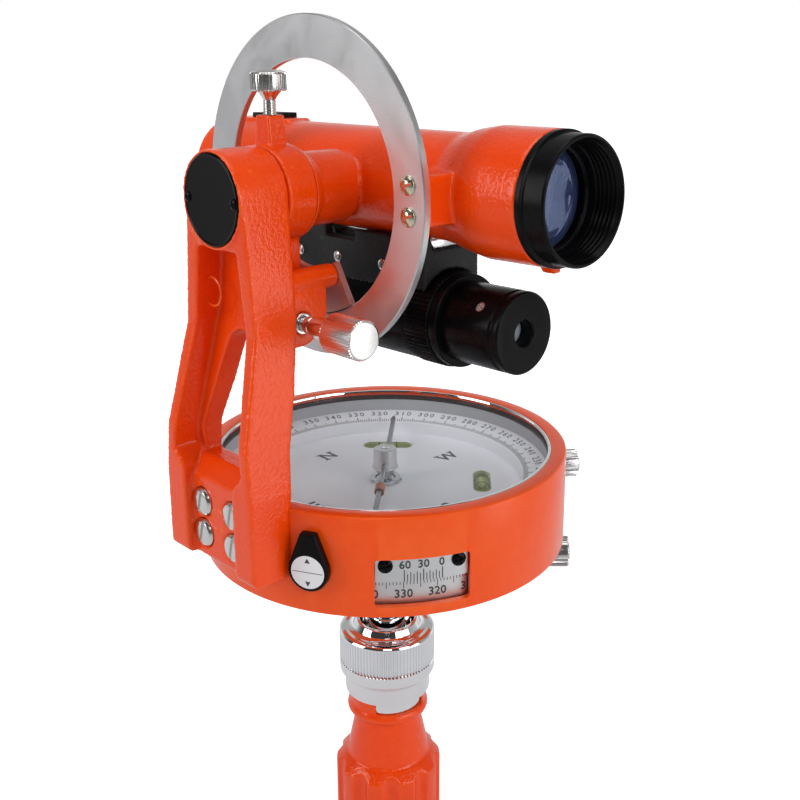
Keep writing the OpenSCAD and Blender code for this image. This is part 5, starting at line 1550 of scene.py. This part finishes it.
@dataclass
class Studio:
    """Pale floor, soft lamps, plain surroundings and the camera."""

    lamps: tuple[Lamp, ...] = (
        Lamp("key_left", (-0.40, -0.90, 0.58), (0, -0.02, 0.2), (0.5, 0.7), 3.9),
        Lamp("key_front", (0.62, -0.55, 0.75), (0, 0, 0.16), (0.3, 0.24), 0.7),
        Lamp("key_right", (1.0, 0.0, 0.50), (0.02, 0, 0.18), (0.4, 0.7), 3.0),
        Lamp("overhead", (0.0, -0.05, 1.15), (0, 0, 0.15), (0.8, 0.8), 3.4),
        Lamp("lens_panel", (0.51, 0.233, 0.21), (0.065, 0.006, 0.252), (0.22, 0.40), 0.5),
    )
    ambient: float = 0.31
    aside: Vec = (0.700, 0.714, 0.0)
    behind: Vec = (-0.714, 0.700, 0.0)

    def build(self) -> None:
        """Builds the studio."""
        for lamp in self.lamps:
            lamp.build()
        self.build_floor()
        self.build_world()
        self.build_camera()

    def facing_away(self, tree: Tree, vector: Socket, low: float, high: float, least: float) -> Socket:
        """Returns a value that rises to 1 towards the backdrop, behind the object.

        Args:
            tree: node tree.
            vector: place or direction.
            low: distance along the backdrop's direction where the rise starts.
            high: distance where it ends.
            least: value on the near side.
        """
        along = put(tree, "VectorMath", {0: vector, 1: self.behind}, operation="DOT_PRODUCT")
        return put(tree, "MapRange", {"Value": along.outputs["Value"], "From Min": low, "From Max": high,
                                      "To Min": least, "To Max": 1.0},
                   interpolation_type="SMOOTHSTEP").outputs[0]

    def mirrored(self, tree: Tree) -> tuple[Socket, Socket]:
        """Returns masks of the rays from the camera, and of those from shiny and clear surfaces."""
        light = put(tree, "LightPath")
        shiny = maths(tree, "MAXIMUM", light.outputs["Is Glossy Ray"], light.outputs["Is Transmission Ray"])
        return light.outputs["Is Camera Ray"], shiny

    def build_floor(self) -> None:
        """Builds the plain floor, white to the camera but for the object's soft shadow."""
        choose()
        bpy.ops.mesh.primitive_plane_add(size=12.0)
        floor = bake(bpy.context.object, Matrix.Translation((0, 0, -0.0005)))
        floor.name = "studio_floor"
        material = bpy.data.materials.new("floor_white")
        material.use_nodes = True
        tree = material.node_tree
        tree.nodes.clear()
        place = put(tree, "TexCoord").outputs["Object"]
        camera, shiny = self.mirrored(tree)
        matte = put(tree, "BsdfDiffuse",
                    {"Color": blend_colours(tree, shiny, (0.80, 0.80, 0.80), (0.54, 0.55, 0.57))})
        dim = maths(tree, "MULTIPLY", shiny, self.facing_away(tree, place, -0.5, 0.6, 0.1))
        dim = maths(tree, "MULTIPLY", dim, 0.4)
        far = maths(tree, "MULTIPLY", camera, self.facing_away(tree, place, -0.05, 0.30, 0.6))
        lift = maths(tree, "MAXIMUM", far, dim)
        glow = put(tree, "Emission", {"Color": (1, 1, 1, 1), "Strength": lift})
        both = put(tree, "AddShader", {0: matte.outputs[0], 1: glow.outputs[0]})
        put(tree, "OutputMaterial", {"Surface": both.outputs[0]})
        floor.data.materials.append(material)

    def build_world(self) -> None:
        """Builds the surroundings: white to the camera, a pale wall behind and a dimmer room to the metal."""
        world = bpy.data.worlds.new("studio")
        bpy.context.scene.world = world
        world.use_nodes = True
        tree = world.node_tree
        tree.nodes.clear()
        way = put(tree, "TexCoord").outputs["Generated"]
        camera, shiny = self.mirrored(tree)
        behind = self.facing_away(tree, way, 0.0, 0.8, 0.10)
        across = put(tree, "VectorMath", {0: way, 1: self.aside}, operation="DOT_PRODUCT")
        right = put(tree, "MapRange", {"Value": across.outputs["Value"], "From Min": 0.35, "From Max": 0.85,
                                       "To Max": 0.55}, interpolation_type="SMOOTHSTEP")
        wall = maths(tree, "MAXIMUM", behind, right.outputs[0])
        height = put(tree, "SeparateXYZ", {0: way})
        above = put(tree, "MapRange", {"Value": height.outputs["Z"], "From Min": 0.05, "From Max": 0.45,
                                       "To Min": 1.0, "To Max": 0.4})
        room = maths(tree, "MULTIPLY", wall, above.outputs[0])
        power = put(tree, "Mix", {"Factor": shiny, 2: self.ambient, 3: room})
        power = put(tree, "Mix", {"Factor": camera, 2: power.outputs[0], 3: 1.0})
        back = put(tree, "Background", {"Color": (1, 1, 1, 1), "Strength": power.outputs[0]})
        put(tree, "OutputWorld", {"Surface": back.outputs[0]})

    def build_camera(self) -> None:
        """Builds the camera at the photograph's angle."""
        data = bpy.data.cameras.new("camera")
        camera = bpy.data.objects.new("camera", data)
        bpy.context.collection.objects.link(camera)
        forward = Vector((-0.6861, 0.6719, -0.2792)).normalized()
        camera.location = (0.2493, -0.2260, 0.2943)
        camera.rotation_euler = forward.to_track_quat("-Z", "Y").to_euler()
        data.sensor_width = 36.0
        data.lens = 1077.98 / 800.0 * 36.0
        data.shift_x = -0.0299
        data.shift_y = -0.0625
        data.clip_start = 0.01
        bpy.context.scene.camera = camera


def main() -> None:
    """Builds the whole scene and reports each piece."""
    logging.basicConfig(level=logging.INFO, format="%(message)s")
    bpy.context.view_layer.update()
    palette = Palette()
    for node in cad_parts.values():
        for slot in node.material_slots:
            slot.material = palette[SLOT_FINISH[slot.material.name.split(".")[0]]]
    assemblies: list[SubAssembly] = [
        BallHead(palette, Body.BASE), CompassBox(palette, Body.ALIDADE), DialAndNeedle(palette, Body.ALIDADE),
        Standard(palette, Body.ALIDADE), AltitudeMotion(palette, Body.COLLAR),
        VerticalCircle(palette, Body.TELESCOPE), Telescope(palette, Body.TELESCOPE),
        LaserPointer(palette, Body.TELESCOPE)]
    for assembly in assemblies:
        LOG.info("Building %s", type(assembly).__name__)
        assembly.build()
    Studio().build()
    bpy.context.scene.view_settings.view_transform = "Standard"


if __name__ == "__main__":
    main()
